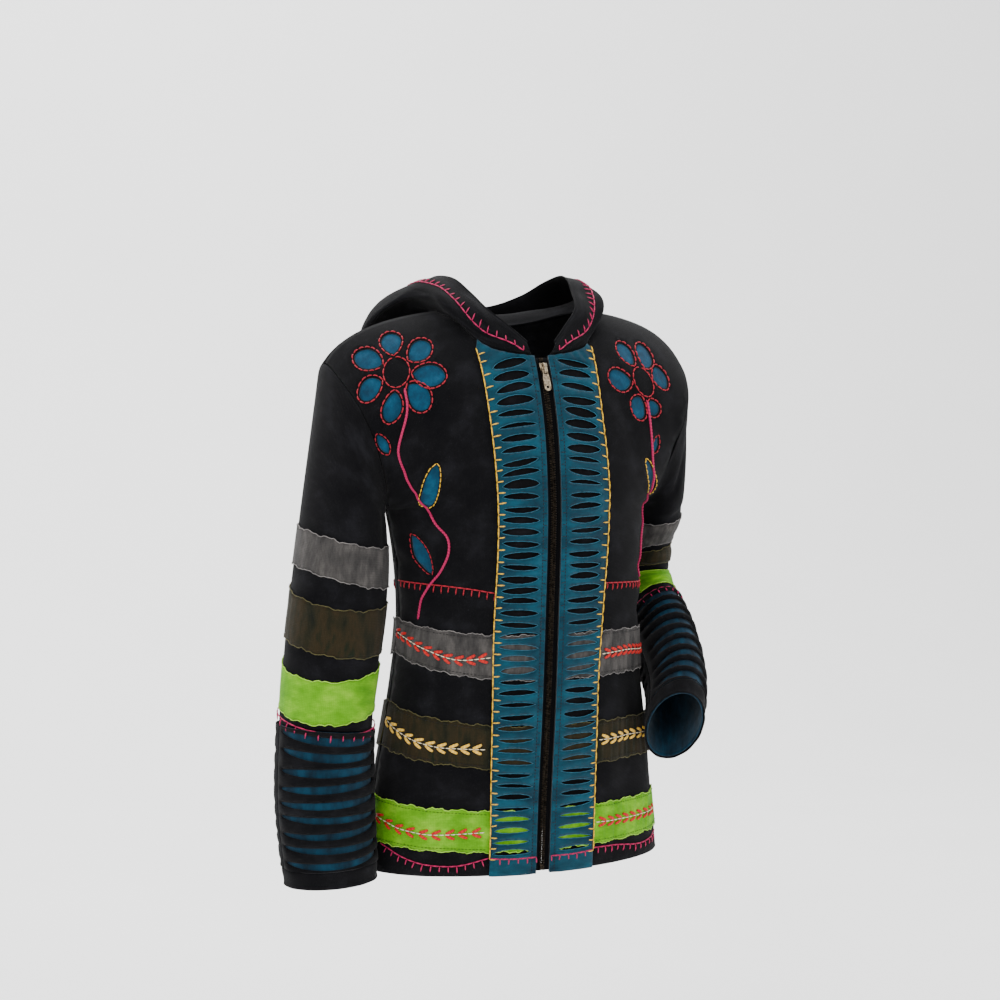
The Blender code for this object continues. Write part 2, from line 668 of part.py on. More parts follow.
def slashed_cuff(maker, surface, side, word):
    """The black layer of the cuff in two halves, with rows of long slits."""
    random = np.random.default_rng(11 + side)
    low, high = CUFF_TOP + SEAM_TURN, CUFF_HEM
    pitch = (high - low) / CUFF_SLASHES
    step = GIRTH / CUFF_AROUND
    for half, first in (("front", 0), ("back", CUFF_AROUND // 2)):
        posts = [(first + k) * step for k in range(CUFF_AROUND // 2 + 1)]
        posts[-1] -= SEAM_TURN
        outline = [(a, low) for a in posts[:-1]] + line((posts[-1], low), (posts[-1], high), pitch * 2)
        outline += [(a, high) for a in posts[:0:-1]] + line((posts[0], high), (posts[0], low), pitch * 2)
        slits = []
        for k in range(CUFF_SLASHES):
            middle = low + pitch * (k + 0.5)
            lean, swell_a, swell_b = random.uniform(-3, 3), random.uniform(0.75, 1.2), random.uniform(0.75, 1.2)
            across = np.array([posts[0] + 7, *posts[1:-1], posts[-1] - 7])
            share = (across - across[0]) / (across[-1] - across[0])
            mid = middle + lean * (share - 0.5)
            swell = CUFF_SLASH_HALF * np.sin(math.pi * share).clip(0) ** 0.6
            upper = list(zip(across, mid + swell * swell_a))
            slits.append(upper + list(zip(across, mid - swell * swell_b))[-2:0:-1])
        flat, faces = cut_out(outline, slits, 90)
        maker.lay(f"cuff_slashed_{half}_{word}", surface, side, flat, faces, ON_PANEL, PATCH, "black_cotton")


def neck_height(across):
    return smooth(FRONT_NECK["s"], FRONT_NECK["h"], across)[:, 0]


def plackets(maker, panels):
    """Teal plackets over the bands, each with its column of slashes."""
    surface = panels["front"]
    for side, word in SIDE_NAMES.items():
        random = np.random.default_rng(5 + side)
        outline = line((PLACKET_IN, 0), (PLACKET_OUT, 0), 28)
        outline += line((PLACKET_OUT, 0), (PLACKET_OUT, 592), 36)
        top = np.linspace(PLACKET_OUT, PLACKET_IN, 6)
        outline += list(zip(top, neck_height(top) - 0.6))
        outline += [(PLACKET_IN, h) for h in zip_rows(0, outline[-1][1])[-2:0:-1]]
        slits = []
        for k in range(SLASHES):
            share = k / (SLASHES - 1)
            middle = SLASH_FIRST + (SLASH_LAST - SLASH_FIRST) * share
            half = (SLASH_LOW + (SLASH_HIGH - SLASH_LOW) * share) / 2
            uneven = (random.uniform(-2, 2), random.uniform(0.8, 1.2), random.uniform(0.8, 1.2))
            start, end = SLASH_IN + random.uniform(-1, 1), SLASH_OUT + random.uniform(-2, 1)
            slits.append(slash(start, end, middle, half, uneven, 6))
        flat, faces = cut_out(tidy_loop(outline), slits, 90)
        maker.lay(f"placket_{word}", surface, side, flat, faces, ON_BAND, PATCH, "teal_cotton")


def hood(maker, panels):
    surface = hood_surface(panels)
    share = np.linspace(0, 1, 14)
    along = np.linspace(0, 1, 11)
    flat = np.array([(a, b) for b in along for a in share])
    for side, word in SIDE_NAMES.items():
        half = maker.lay(
            f"hood_{word}", surface, side, flat, grid_faces(len(along), len(share)), 0, WALL, "black_cotton"
        )
        half.location.x = side * SEAM_TURN * MM


def strip(maker, name, surface, along, across, lifts, material):
    """A bar that follows the zip, with a rectangular section."""
    (left, right), (low, high) = across, lifts
    corners = ((left, high), (right, high), (right, low), (left, low))
    places = np.array([[surface.at(s, h, lift) for s, lift in corners] for h in along]).reshape(-1, 3)
    faces = grid_faces(len(along), 4, True)
    last = 4 * (len(along) - 1)
    faces += [(3, 2, 1, 0), (last, last + 1, last + 2, last + 3)]
    return maker.add(name, places, faces, material, 0, smooth_shade=False)


def zip_frame(surface):
    """Where the slider sits: its place on the zip and its lean, turned about the wearer's left-right line."""
    low, high = (surface.at(0, SLIDER_AT + d) for d in (-5, 5))
    way = (high - low) / np.linalg.norm(high - low)
    return surface.at(0, SLIDER_AT), math.atan2(way[1], way[2])


def curve_mesh(name, splines, extrude, closed):
    """A flat outline filled and thickened, as a mesh in the XZ plane."""
    curve = bpy.data.curves.new(name, "CURVE")
    curve.dimensions = "2D"
    curve.fill_mode = "BOTH"
    curve.extrude = extrude * MM
    for points in splines:
        spline = curve.splines.new("POLY")
        spline.points.add(len(points) - 1)
        for point, (x, z) in zip(spline.points, points):
            point.co = (x * MM, z * MM, 0, 1)
        spline.use_cyclic_u = closed
    holder = bpy.data.objects.new(name + "_outline", curve)
    bpy.context.scene.collection.objects.link(holder)
    bpy.context.view_layer.update()
    mesh = bpy.data.meshes.new_from_object(holder.evaluated_get(bpy.context.evaluated_depsgraph_get()))
    bpy.data.objects.remove(holder)
    weld_and_turn(mesh)
    return mesh


def weld_and_turn(mesh):
    """Welds the caps of a filled outline, and stands it up: its second axis becomes Z."""
    work = bmesh.new()
    work.from_mesh(mesh)
    bmesh.ops.remove_doubles(work, verts=work.verts, dist=1e-6)
    for vertex in work.verts:
        x, y, z = vertex.co
        vertex.co = (x, z, y)
    bmesh.ops.recalc_face_normals(work, faces=work.faces)
    if work.calc_volume(signed=True) < 0:
        bmesh.ops.reverse_faces(work, faces=work.faces)
    work.to_mesh(mesh)
    work.free()


def arc(centre, radius, start, end, count):
    """Points of an arc, with its angles in degrees."""
    turns = np.radians(np.linspace(start, end, count))
    return [(centre[0] + radius * math.cos(t), centre[1] + radius * math.sin(t)) for t in turns]


def place_on_zip(used, place, lean, lift):
    outward = np.array([0, -math.cos(lean), math.sin(lean)])
    used.location = (np.asarray(place) + outward * lift) * MM
    used.rotation_euler = (-lean, 0, 0)


def zip_parts(maker, panels, cutters):
    surface = panels["front"]
    along = zip_rows(ZIP_LOW, ZIP_HIGH)
    tape_along = zip_rows(3, NECK_FRONT - 1)
    for side, word in SIDE_NAMES.items():
        flat = np.array([(s, h) for h in tape_along for s in (TAPE_IN, TAPE_OUT)])
        faces = grid_faces(len(tape_along), 2)
        maker.lay(f"zip_tape_{word}", surface, side, flat, faces, UNDER_PANEL, PATCH, "zip_tape")
        strip(
            maker, f"zip_stop_{word}", surface, (ZIP_HIGH + 1, ZIP_HIGH + 5),
            sorted((side * SEAM, side * (TAPE_IN - SEAM))), (-2.5, 0.2), "antique_brass",
        )
    strip(maker, "zip_chain", surface, along, (-CHAIN_HALF, CHAIN_HALF), (-2.6, -0.5), "antique_brass")
    strip(maker, "zip_box", surface, (3, ZIP_LOW - 1), (-CHAIN_HALF, CHAIN_HALF), (-3.0, 0.4), "antique_brass")
    place, lean = zip_frame(surface)
    half = SLIDER_LONG / 2
    plan = [(-2.6, -half), (2.6, -half), (SLIDER_WIDE / 2, half - 4), (SLIDER_WIDE / 2, half)]
    plan += [(-SLIDER_WIDE / 2, half), (-SLIDER_WIDE / 2, half - 4)]
    slider = bpy.data.objects.new("zip_slider", curve_mesh("zip_slider", [plan], SLIDER_THICK / 2, True))
    slider.data.materials.append(maker.materials["antique_brass"])
    maker.collection.objects.link(slider)
    place_on_zip(slider, place, lean, SLIDER_LIFT + SLIDER_THICK / 2)
    bridge(slider, cutters)
    pull(maker, place, lean)


def bridge(slider, cutters):
    """The arch over the slider that holds the pull, joined to it."""
    top = BAR_LIFT + 2.6 - SLIDER_LIFT - SLIDER_THICK / 2
    outer = [(-BRIDGE_HALF, 0.3), (-BRIDGE_HALF, top * 0.6), (-BRIDGE_HALF * 0.6, top), (BRIDGE_HALF * 0.6, top)]
    outer += [(BRIDGE_HALF, top * 0.6), (BRIDGE_HALF, 0.3)]
    inner = [(x * (1 - BRIDGE_ROD / BRIDGE_HALF), max(0.3, z - BRIDGE_ROD)) for x, z in outer[::-1]]
    inner[0] = (inner[0][0], 0.3)
    mesh = curve_mesh("zip_bridge", [outer + inner], 1.1, True)
    arch = bpy.data.objects.new("zip_bridge", mesh)
    cutters.objects.link(arch)
    # The arch was drawn across the zip: it stands up along it
    for vertex in mesh.vertices:
        x, y, z = vertex.co
        vertex.co = (-y, -z, x)
    arch.location = slider.location
    arch.rotation_euler = slider.rotation_euler
    arch.hide_render = True
    arch.display_type = "WIRE"
    join = slider.modifiers.new("bridge", "BOOLEAN")
    join.operation = "UNION"
    join.solver = "EXACT"
    join.object = arch


def pull(maker, place, lean):
    """The pull tab, with its cross bar under the bridge and its origin on that bar."""
    wide = PULL_WIDE / 2
    neck = wide * 0.78
    bar = PULL_BAR / 2
    outer = [(-neck, bar), (neck, bar), (neck, -PULL_EYE), (wide, -PULL_LONG * 0.45)]
    outer += arc((0, -PULL_LONG + wide), wide, 0, -180, 9) + [(-wide, -PULL_LONG * 0.45), (-neck, -PULL_EYE)]
    eye = neck - 1.2
    window = [(-eye, -bar), (eye, -bar), (eye, -PULL_EYE), (-eye, -PULL_EYE)]
    hole = arc((0, -PULL_LONG + wide + 0.5), 1.6, 0, 315, 8)
    mesh = curve_mesh("zip_pull", [outer, window, hole], PULL_THICK / 2, True)
    mesh.materials.append(maker.materials["antique_brass"])
    tab = bpy.data.objects.new("zip_pull", mesh)
    maker.collection.objects.link(tab)
    place_on_zip(tab, place, lean, BAR_LIFT)


def clear_scene():
    for used in list(bpy.data.objects):
        bpy.data.objects.remove(used)


def main():
    clear_scene()
    collection = bpy.data.collections.new("hooded_jacket")
    cutters = bpy.data.collections.new("cutters")
    cutters.hide_render = True
    for made in (collection, cutters):
        bpy.context.scene.collection.children.link(made)
    maker = Maker(collection, make_materials())
    panels = {
        "front": panel_surface(FRONT_CENTRE, FRONT_IN, True),
        "back": panel_surface(BACK_CENTRE, BACK_IN, False),
    }
    arms = {side: sleeve_surface(side) for side in SIDE_NAMES}
    fronts(maker, panels)
    back(maker, panels)
    body_bands(maker, panels)
    sleeves(maker, arms)
    plackets(maker, panels)
    hood(maker, panels)
    zip_parts(maker, panels, cutters)


main()
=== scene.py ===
# %% [markdown]
# # A hooded patchwork jacket, dressed
# The rigid parts give this worn cotton jacket its true form. In this lesson each part gets the thing
# that a buyer sees: thin cloth with creases, raw edges, slashes, embroidery and a metal zip.

import math

import bpy
import numpy as np
from mathutils.geometry import delaunay_2d_cdt
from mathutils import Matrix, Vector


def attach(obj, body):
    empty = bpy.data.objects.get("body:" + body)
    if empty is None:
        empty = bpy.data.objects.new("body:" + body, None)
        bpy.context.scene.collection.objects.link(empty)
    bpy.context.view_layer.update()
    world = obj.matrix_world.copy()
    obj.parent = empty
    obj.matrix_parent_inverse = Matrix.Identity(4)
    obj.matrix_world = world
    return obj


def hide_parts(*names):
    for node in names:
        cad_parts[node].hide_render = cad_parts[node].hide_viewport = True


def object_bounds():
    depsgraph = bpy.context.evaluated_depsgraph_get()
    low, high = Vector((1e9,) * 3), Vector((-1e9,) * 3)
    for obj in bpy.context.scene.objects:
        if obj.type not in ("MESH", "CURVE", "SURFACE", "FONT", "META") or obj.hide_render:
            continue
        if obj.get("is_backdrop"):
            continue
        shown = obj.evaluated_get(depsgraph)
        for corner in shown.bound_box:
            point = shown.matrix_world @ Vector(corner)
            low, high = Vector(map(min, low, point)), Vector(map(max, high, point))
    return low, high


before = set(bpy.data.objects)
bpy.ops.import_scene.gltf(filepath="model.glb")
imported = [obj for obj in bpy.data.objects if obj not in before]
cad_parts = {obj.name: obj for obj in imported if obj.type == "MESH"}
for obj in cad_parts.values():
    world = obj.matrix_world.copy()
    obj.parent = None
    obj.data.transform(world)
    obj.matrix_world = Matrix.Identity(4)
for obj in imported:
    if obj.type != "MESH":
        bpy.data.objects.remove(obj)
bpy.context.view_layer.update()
MM = 0.001
LEFT, RIGHT = 1, -1
SIDE_NAMES = {LEFT: "left", RIGHT: "right"}

# %% [markdown]
# ## The camera and the room
# A product photograph of a garment is taken from a few metres with a long lens, so that nothing looks
# swollen. A single curved sheet of paper makes floor and background in one, and wide lamps light cloth
# softly. A small strong lamp would be simpler, but it would draw hard shadows in every fold.

# %% Camera
camera = bpy.data.objects.new("camera", bpy.data.cameras.new("camera"))
camera.data.lens = 90.47
camera.data.sensor_width = 36
camera.location = (-1.0693, -2.5879, 0.037)
camera.rotation_euler = (math.radians(90 - 4.9), 0, math.radians(-22))
bpy.context.scene.collection.objects.link(camera)
bpy.context.scene.camera = camera
print("camera distance", round(camera.location.length, 2), "m")


# %% [markdown]
# Colours are written as they look on a screen, but the renderer adds up light, so one function turns
# each of them into light. One more adds a shading node with its settings and links, so a finish reads
# as a few steps.

# %% Colours and the node helper
def linear(hex_colour):
    """An sRGB hex colour as linear red, green, blue and full alpha."""
    parts = [int(hex_colour[i : i + 2], 16) / 255 for i in (0, 2, 4)]
    return [c / 12.92 if c <= 0.04045 else ((c + 0.055) / 1.055) ** 2.4 for c in parts] + [1.0]


def add_node(tree, kind, settings, links=None):
    """Adds a node, sets its own settings and unlinked sockets, then links the sockets that are given."""
    node = tree.nodes.new(kind)
    for key, value in settings.items():
        if isinstance(key, str) and hasattr(node, key):
            setattr(node, key, value)
        else:
            node.inputs[key].default_value = value
    for socket, source in (links or {}).items():
        tree.links.new(source, node.inputs[socket])
    return node


def new_material(name):
    material = bpy.data.materials.new(name)
    material.use_nodes = True
    return material, material.node_tree, material.node_tree.nodes["Principled BSDF"]


def finish_shader(tree, shader, colour, bump, settings):
    """Links a colour and a bump to the shader, and sets its constants."""
    tree.links.new(colour, shader.inputs["Base Color"])
    tree.links.new(bump.outputs["Normal"], shader.inputs["Normal"])
    for socket, value in settings.items():
        shader.inputs[socket].default_value = value


print("white is", linear("ffffff"))

# %% [markdown]
# Seamless studio paper is a matt, slightly mottled sheet. A sweep of one profile makes it: flat floor,
# a wide bend, then the wall behind.

# %% Paper floor and soft lamps
FLOOR = -1.0
PAPER_NEAR, PAPER_FAR, PAPER_TOP, PAPER_BEND, PAPER_HALF = -5.0, 3.2, 4.0, 1.2, 6.0


def paper_sweep():
    profile = [(PAPER_NEAR, FLOOR), (PAPER_FAR - PAPER_BEND, FLOOR)]
    for turn in np.radians(np.linspace(6, 90, 15)):
        away, up = PAPER_BEND * math.sin(turn), PAPER_BEND * (1 - math.cos(turn))
        profile.append((PAPER_FAR - PAPER_BEND + away, FLOOR + up))
    profile.append((PAPER_FAR, PAPER_TOP))
    verts = [(x, y, z) for y, z in profile for x in (-PAPER_HALF, PAPER_HALF)]
    faces = [(2 * k, 2 * k + 1, 2 * k + 3, 2 * k + 2) for k in range(len(profile) - 1)]
    mesh = bpy.data.meshes.new("paper")
    mesh.from_pydata(verts, [], faces)
    mesh.shade_smooth()
    paper = bpy.data.objects.new("paper", mesh)
    bpy.context.scene.collection.objects.link(paper)
    material, tree, shader = new_material("matt studio paper")
    place = add_node(tree, "ShaderNodeTexCoord", {})
    mottle = add_node(tree, "ShaderNodeTexNoise", {"Scale": 3.0}, {"Vector": place.outputs["Object"]})
    ramp = add_node(tree, "ShaderNodeValToRGB", {}, {"Fac": mottle.outputs["Fac"]})
    for stop, colour in zip(ramp.color_ramp.elements, ("f4f4f4", "fafafa")):
        stop.color = linear(colour)
    tree.links.new(ramp.outputs["Color"], shader.inputs["Base Color"])
    shader.inputs["Roughness"].default_value = 0.9
    mesh.materials.append(material)
    return paper


def soft_lamp(name, place, aim, size, power):
    """A square lamp that faces a point."""
    lamp = bpy.data.lights.new(name, "AREA")
    lamp.size = size
    lamp.energy = power
    holder = bpy.data.objects.new(name, lamp)
    holder.location = place
    x, y, z = np.array(aim) - np.array(place)
    holder.rotation_euler = (math.atan2(math.hypot(x, y), -z), 0, math.atan2(y, x) - math.pi / 2)
    bpy.context.scene.collection.objects.link(holder)


paper_sweep()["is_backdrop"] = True
soft_lamp("window side", (-2.6, -2.6, 1.7), (0, 0, -0.3), 1.8, 110)
soft_lamp("room side", (2.4, -1.9, 0.9), (0, 0, -0.3), 1.8, 38)
soft_lamp("from above and behind", (0.2, 1.8, 2.4), (0, 0, -0.2), 1.6, 55)
soft_lamp("on the paper", (0.0, 0.9, 2.6), (0, 3.2, 0.2), 3.0, 130)
world = bpy.data.worlds.new("pale room")
world.use_nodes = True
sky = world.node_tree.nodes["Background"]
sky.inputs["Color"].default_value = linear("ffffff")
sky.inputs["Strength"].default_value = 1.3
bpy.context.scene.world = world

# %% [markdown]
# ## The form of the garment
# A jacket is cut flat and then filled out by a body. So each part of it is a surface with two flat
# coordinates, as on the cutting table: millimetres across and millimetres along. Sculpting would be
# freer, but with flat coordinates every stitch, patch and slash can be placed as a maker places it.

# %% Smooth curves through short tables
def smooth(knots, values, at):
    """A smooth curve through a table's rows, read at one or many places."""
    knots = np.asarray(knots, float)
    values = np.asarray(values, float).reshape(len(knots), -1)
    at = np.atleast_1d(np.asarray(at, float))
    step = np.diff(knots)[:, None]
    rise = np.diff(values, axis=0) / step
    inner = (rise[:-1] * step[1:] + rise[1:] * step[:-1]) / (step[1:] + step[:-1])
    slope = np.vstack([rise[:1], inner, rise[-1:]])
    k = np.clip(np.searchsorted(knots, at, side="right") - 1, 0, len(step) - 1)
    span = step[k]
    f = (at[:, None] - knots[k][:, None]) / span
    start = (2 * f**3 - 3 * f**2 + 1) * values[k] + (f**3 - 2 * f**2 + f) * span * slope[k]
    end = (3 * f**2 - 2 * f**3) * values[k + 1] + (f**3 - f**2) * span * slope[k + 1]
    return start + end


def columns(table, key, names, at):
    return smooth(table[key], np.column_stack([table[n] for n in names]), at)


print("half way on a short table:", smooth((0, 1, 2), (0, 1, 4), 1.5)[0])

# %% [markdown]
# The body is two fronts and a back that meet at the side seams. It could be shaped point by point; a
# few heights with a width and a depth each keep it smooth and are easier to change.

# %% Sizes of the body, in millimetres
UNDERARM, SHOULDER, NECK_FRONT, ZIP_HALF = 405.0, 666.0, 571.0, 8.5
FRONT_CENTRE = {
    "h": (0, 90, 205, 285, 375, 405, 450, 495, 530, 571, 597, 628, 666),
    "y": (-65, -72, -85, -91, -97, -98, -95, -88, -77, -59, -45, -21, 24),
    "z": (-612, -524, -407, -328, -239, -209, -163, -118, -82, -41, -20, 2, 13),
    "out": (95, 92, 84, 80, 85, 86, 82, 78, 72, 66, 58, 52, 46),
}
BACK_CENTRE = {
    "h": (0, 90, 205, 285, 375, 405, 450, 495, 540, 580, 612, 640, 666),
    "y": (126, 125, 111, 101, 110, 113, 118, 121, 118, 110, 98, 66, 24),
    "z": (-608, -520, -405, -328, -240, -210, -165, -120, -75, -38, -14, 7, 13),
    "out": (94, 90, 82, 78, 84, 86, 84, 78, 72, 66, 60, 52, 46),
}
SIDE_SEAM = {
    "h": (0, 90, 205, 285, 375, 405),
    "x": (176, 166, 148, 141, 147, 152),
    "y": (24, 20, 12, 6, 11, 17),
    "z": (-610, -520, -405, -328, -240, -210),
}
ARMHOLE = {
    "turn": (0, 0.083, 0.167, 0.25, 0.333, 0.417, 0.5, 0.583, 0.667, 0.75, 0.833, 0.917, 1),
    "x": (152, 159, 170, 183, 197, 208, 213, 212, 206, 195, 180, 163, 152),
    "y": (17, -10, -26, -33, -25, 6, 44, 72, 90, 98, 90, 56, 17),
    "z": (-210, -200, -168, -130, -95, -66, -49, -60, -87, -122, -160, -197, -210),
}
FRONT_IN = {
    "h": (0, 205, 375, 405, 450, 495, 530, 571, 597, 628, 666),
    "x": (0, 0, 0, -1, -14, -34, -44, -46, -42, -34, -26),
    "y": (-54, -54, -58, -58, -44, -32, -26, -22, -16, -10, -5),
    "z": (0, 0, 0, 0, 6, 10, 16, 26, 38, 50, 60),
}
BACK_IN = {
    "h": (0, 205, 375, 405, 450, 495, 540, 580, 612, 640, 666),
    "x": (0, 0, -3, -7, -16, -32, -44, -46, -42, -34, -26),
    "y": (56, 54, 58, 58, 42, 24, 14, 8, 4, 0, -5),
    "z": (0, 0, 0, 0, 6, 10, 16, 26, 38, 50, 60),
}
FRONT_NECK = {"s": (0, 20, 42, 60, 72, 82, 88), "h": (571, 573, 580, 592, 612, 640, 666)}
BACK_NECK = {"s": (0, 30, 60, 80, 88), "h": (618, 620, 631, 648, 666)}
print("front length", SHOULDER, "mm")

# %% [markdown]
# A sleeve is a tube along a bent line, and the hood lies open down the back. Rings at a few places give
# them their bends and their girth, which a straight tube with a bend put in later would pinch.

# %% Sizes of the sleeves and hood, in millimetres
GIRTH, SLEEVE = 300.0, 562.0
SLEEVE_RINGS = {
    RIGHT: {
        "l": (165, 240, 315, 395, 455, 562),
        "x": (206, 213, 221, 229, 232, 227),
        "across": (43, 47, 50, 51, 52, 50),
        "front_y": (-45, -40, -42, -47, -50, -53),
        "front_z": (-224, -298, -372, -452, -512, -612),
        "back_y": (75, 72, 62, 51, 44, 37),
        "back_z": (-220, -296, -372, -452, -512, -612),
    },
    LEFT: {
        "l": (165, 215, 262, 312, 382, 440, 500, 562),
        "x": (190, 188, 189, 190, 190, 187, 177, 154),
        "across": (30, 33, 36, 35, 31, 30, 29, 30),
        "front_y": (6, 26, 42, 42, 18, -24, -70, -114),
        "front_z": (-230, -260, -282, -296, -312, -340, -376, -414),
        "back_y": (112, 134, 150, 144, 86, 42, -4, -50),
        "back_z": (-214, -243, -280, -330, -394, -424, -458, -496),
    },
}
HOOD_STATIONS = ("rise", "side", "low", "wall", "edge")
HOOD = {
    "round": (0, 0.12, 0.25, 0.37, 0.5, 0.6, 0.7, 0.8, 0.9, 1),
    "rise": (
        (13, -62, -36), (33, -58, -32), (66, -44, -20), (88, -20, 2), (96, 20, 18),
        (102, 52, 20), (98, 92, 12), (70, 114, 2), (36, 125, -6), (0, 128, -8),
    ),
    "side": (
        (14, -63, -33), (34, -58, -25), (68, -43, -11), (90, -17, 12), (102, 20, 25),
        (112, 58, 22), (128, 112, -8), (112, 132, -84), (62, 135, -122), (0, 135, -135),
    ),
    "low": (
        (15, -63, -31), (34, -56, -19), (64, -40, -2), (84, -13, 20), (99, 24, 33),
        (116, 66, 28), (140, 130, -24), (120, 156, -120), (66, 164, -174), (0, 166, -200),
    ),
    "wall": (
        (16, -62, -28), (33, -53, -13), (58, -37, 6), (72, -9, 26), (86, 28, 40),
        (102, 72, 37), (120, 136, 10), (106, 184, -56), (60, 206, -88), (0, 212, -100),
    ),
    "edge": (
        (16, -60, -25), (32, -50, -9), (52, -33, 11), (60, -5, 28), (68, 30, 44),
        (74, 66, 46), (72, 108, 38), (60, 142, 24), (34, 166, 12), (0, 174, 8),
    ),
}
print("sleeve length", SLEEVE, "mm")


# %% [markdown]
# Every layer of the jacket lies on one of a few surfaces. A surface turns a flat place, as on a cutting
# table, into a place in the room, so that each patch and each stitch follows the cloth under it.

# %% A cloth surface
class Surface:
    """Places of a cloth surface by flat coordinates: across and along, both in millimetres."""

    def __init__(self, places, along, width, outward, loop=False):
        self.places = places
        self.along = along
        self.width = width
        self.loop = loop
        self.outward = outward
        across = (np.roll(places, -1, 1) - np.roll(places, 1, 1)) if loop else np.gradient(places, axis=1)
        normal = np.cross(across, np.gradient(places, axis=0)) * outward
        self.normal = normal / np.maximum(np.linalg.norm(normal, axis=2, keepdims=True), 1e-9)

    def width_at(self, along):
        return np.interp(along, np.linspace(*self.along, len(self.width)), self.width)

    def at(self, across, along, lift=0.0):
        """Places for the wearer's left. A negative distance across lies on the mirrored half."""
        across, along = np.broadcast_arrays(np.asarray(across, float), np.asarray(along, float))
        rows, cols = self.places.shape[:2]
        share = np.abs(across) / self.width_at(along)
        i = np.clip((along - self.along[0]) / (self.along[1] - self.along[0]), 0, 1) * (rows - 1)
        j = (across / self.width_at(along)) % 1 * cols if self.loop else np.clip(share, 0, 1) * (cols - 1)
        i0 = np.minimum(i.astype(int), rows - 2)
        j0 = j.astype(int) % cols if self.loop else np.minimum(j.astype(int), cols - 2)
        j1 = (j0 + 1) % cols
        fi, fj = (i - i0)[..., None], (j - np.floor(j) if self.loop else j - j0)[..., None]

        def blend(grid):
            low = grid[i0, j0] * (1 - fj) + grid[i0, j1] * fj
            high = grid[i0 + 1, j0] * (1 - fj) + grid[i0 + 1, j1] * fj
            return low * (1 - fi) + high * fi

        normal = blend(self.normal)
        normal = normal / np.linalg.norm(normal, axis=-1, keepdims=True)
        found = blend(self.places) + normal * np.asarray(lift, float)[..., None]
        if not self.loop:
            found[..., 0] *= np.where(across < 0, -1, 1)
        return found


print("cloth surface ready")


# %% [markdown]
# On the flat, a place on a front or the back is a way out from the middle and a height over the hem.
# That is how a cutter reads a pattern, so windows and bands can be measured as on the real panel.

# %% The front and back of the body
def panel_surface(centre, come_in, front):
    """The front or back of the body, from the hem to the shoulder seam."""
    along = np.linspace(0, SHOULDER, 223)
    start = np.column_stack([np.zeros_like(along), columns(centre, "h", ("y", "z"), along)])
    leave = start + np.column_stack([smooth(centre["h"], centre["out"], along), 0 * along, 0 * along])
    side = columns(SIDE_SEAM, "h", "xyz", np.minimum(along, UNDERARM))
    turn = np.clip((along - UNDERARM) / (SHOULDER - UNDERARM), 0, 1) * 0.5
    arm = columns(ARMHOLE, "turn", "xyz", turn if front else 1 - turn)
    end = np.where((along <= UNDERARM)[:, None], side, arm)
    come = end + columns(come_in, "h", "xyz", along)
    t = np.linspace(0, 1, 241)[None, :, None]
    curve = start[:, None] * (1 - t) ** 3 + 3 * leave[:, None] * (1 - t) ** 2 * t
    curve = curve + 3 * come[:, None] * (1 - t) * t**2 + end[:, None] * t**3
    gaps = np.linalg.norm(np.diff(curve, axis=1), axis=2)
    length = np.concatenate([np.zeros((len(along), 1)), np.cumsum(gaps, axis=1)], axis=1)
    even = np.linspace(0, 1, 121)
    places = np.array(
        [
            np.column_stack([np.interp(even * row[-1], row, points[:, k]) for k in range(3)])
            for row, points in zip(length, curve)
        ]
    )
    return Surface(places, (0, SHOULDER), length[:, -1], 1 if front else -1)


FRONT = panel_surface(FRONT_CENTRE, FRONT_IN, True)
BACK = panel_surface(BACK_CENTRE, BACK_IN, False)
print("front half width at the hem", round(float(FRONT.width_at(0))), "mm")

# %% [markdown]
# A place on a sleeve is a way round it and a length down from the shoulder. A band is then a plain
# strip on the flat and a ring on the arm.

# %% The sleeves
ELBOW_FOLDS = {"l": (200, 234, 272, 308, 342), "slant": (10, -8, 6, -8, 8)}
ELBOW_DEEP, ELBOW_WIDE = 2.4, 14.0


def elbow_folds(along, turn):
    """Soft troughs across the front of the bent elbow, fading round to its point."""
    deep = 0
    for at, slant in zip(*ELBOW_FOLDS.values()):
        swing = at + slant * np.sin(2 * math.pi * turn)
        fade = 0.45 - 0.55 * np.sin(2 * math.pi * (turn + 0.5))
        deep = deep - ELBOW_DEEP * np.exp(-(((along - swing) / ELBOW_WIDE) ** 2)) * fade
    return deep * 0.8


def sleeve_surface(side):
    """A sleeve from the armhole to the cuff. Across runs round it from the underarm, by the front."""
    rings = SLEEVE_RINGS[side]
    turn = np.arange(96) / 96
    fore = np.column_stack([rings["x"], rings["front_y"], rings["front_z"]]).astype(float)
    rear = np.column_stack([rings["x"], rings["back_y"], rings["back_z"]]).astype(float)
    centres, forward = (fore + rear) / 2, (fore - rear) / 2
    heading = np.gradient(centres, axis=0)
    heading /= np.linalg.norm(heading, axis=1, keepdims=True)
    inward = np.array([-1.0, 0, 0]) + heading * heading[:, :1]
    inward *= np.array(rings["across"], float)[:, None] / np.linalg.norm(inward, axis=1, keepdims=True)
    angle = 2 * math.pi * turn[None, :, None]
    loops = centres[:, None] + np.cos(angle) * inward[:, None] + np.sin(angle) * forward[:, None]
    knots = (0,) + rings["l"]
    stack = np.concatenate([columns(ARMHOLE, "turn", "xyz", turn)[None], loops]).reshape(len(knots), -1)
    along = np.linspace(0, SLEEVE, 282)
    places = smooth(knots, stack, along).reshape(len(along), len(turn), 3)
    surface = Surface(places, (0, SLEEVE), np.full(len(along), GIRTH), -1, loop=True)
    if side == LEFT:
        places = places + surface.normal * elbow_folds(along[:, None], turn[None, :])[..., None]
        surface = Surface(places, (0, SLEEVE), surface.width, -1, loop=True)
    return surface


ARMS = {side: sleeve_surface(side) for side in SIDE_NAMES}
print("sleeve surfaces:", len(ARMS))


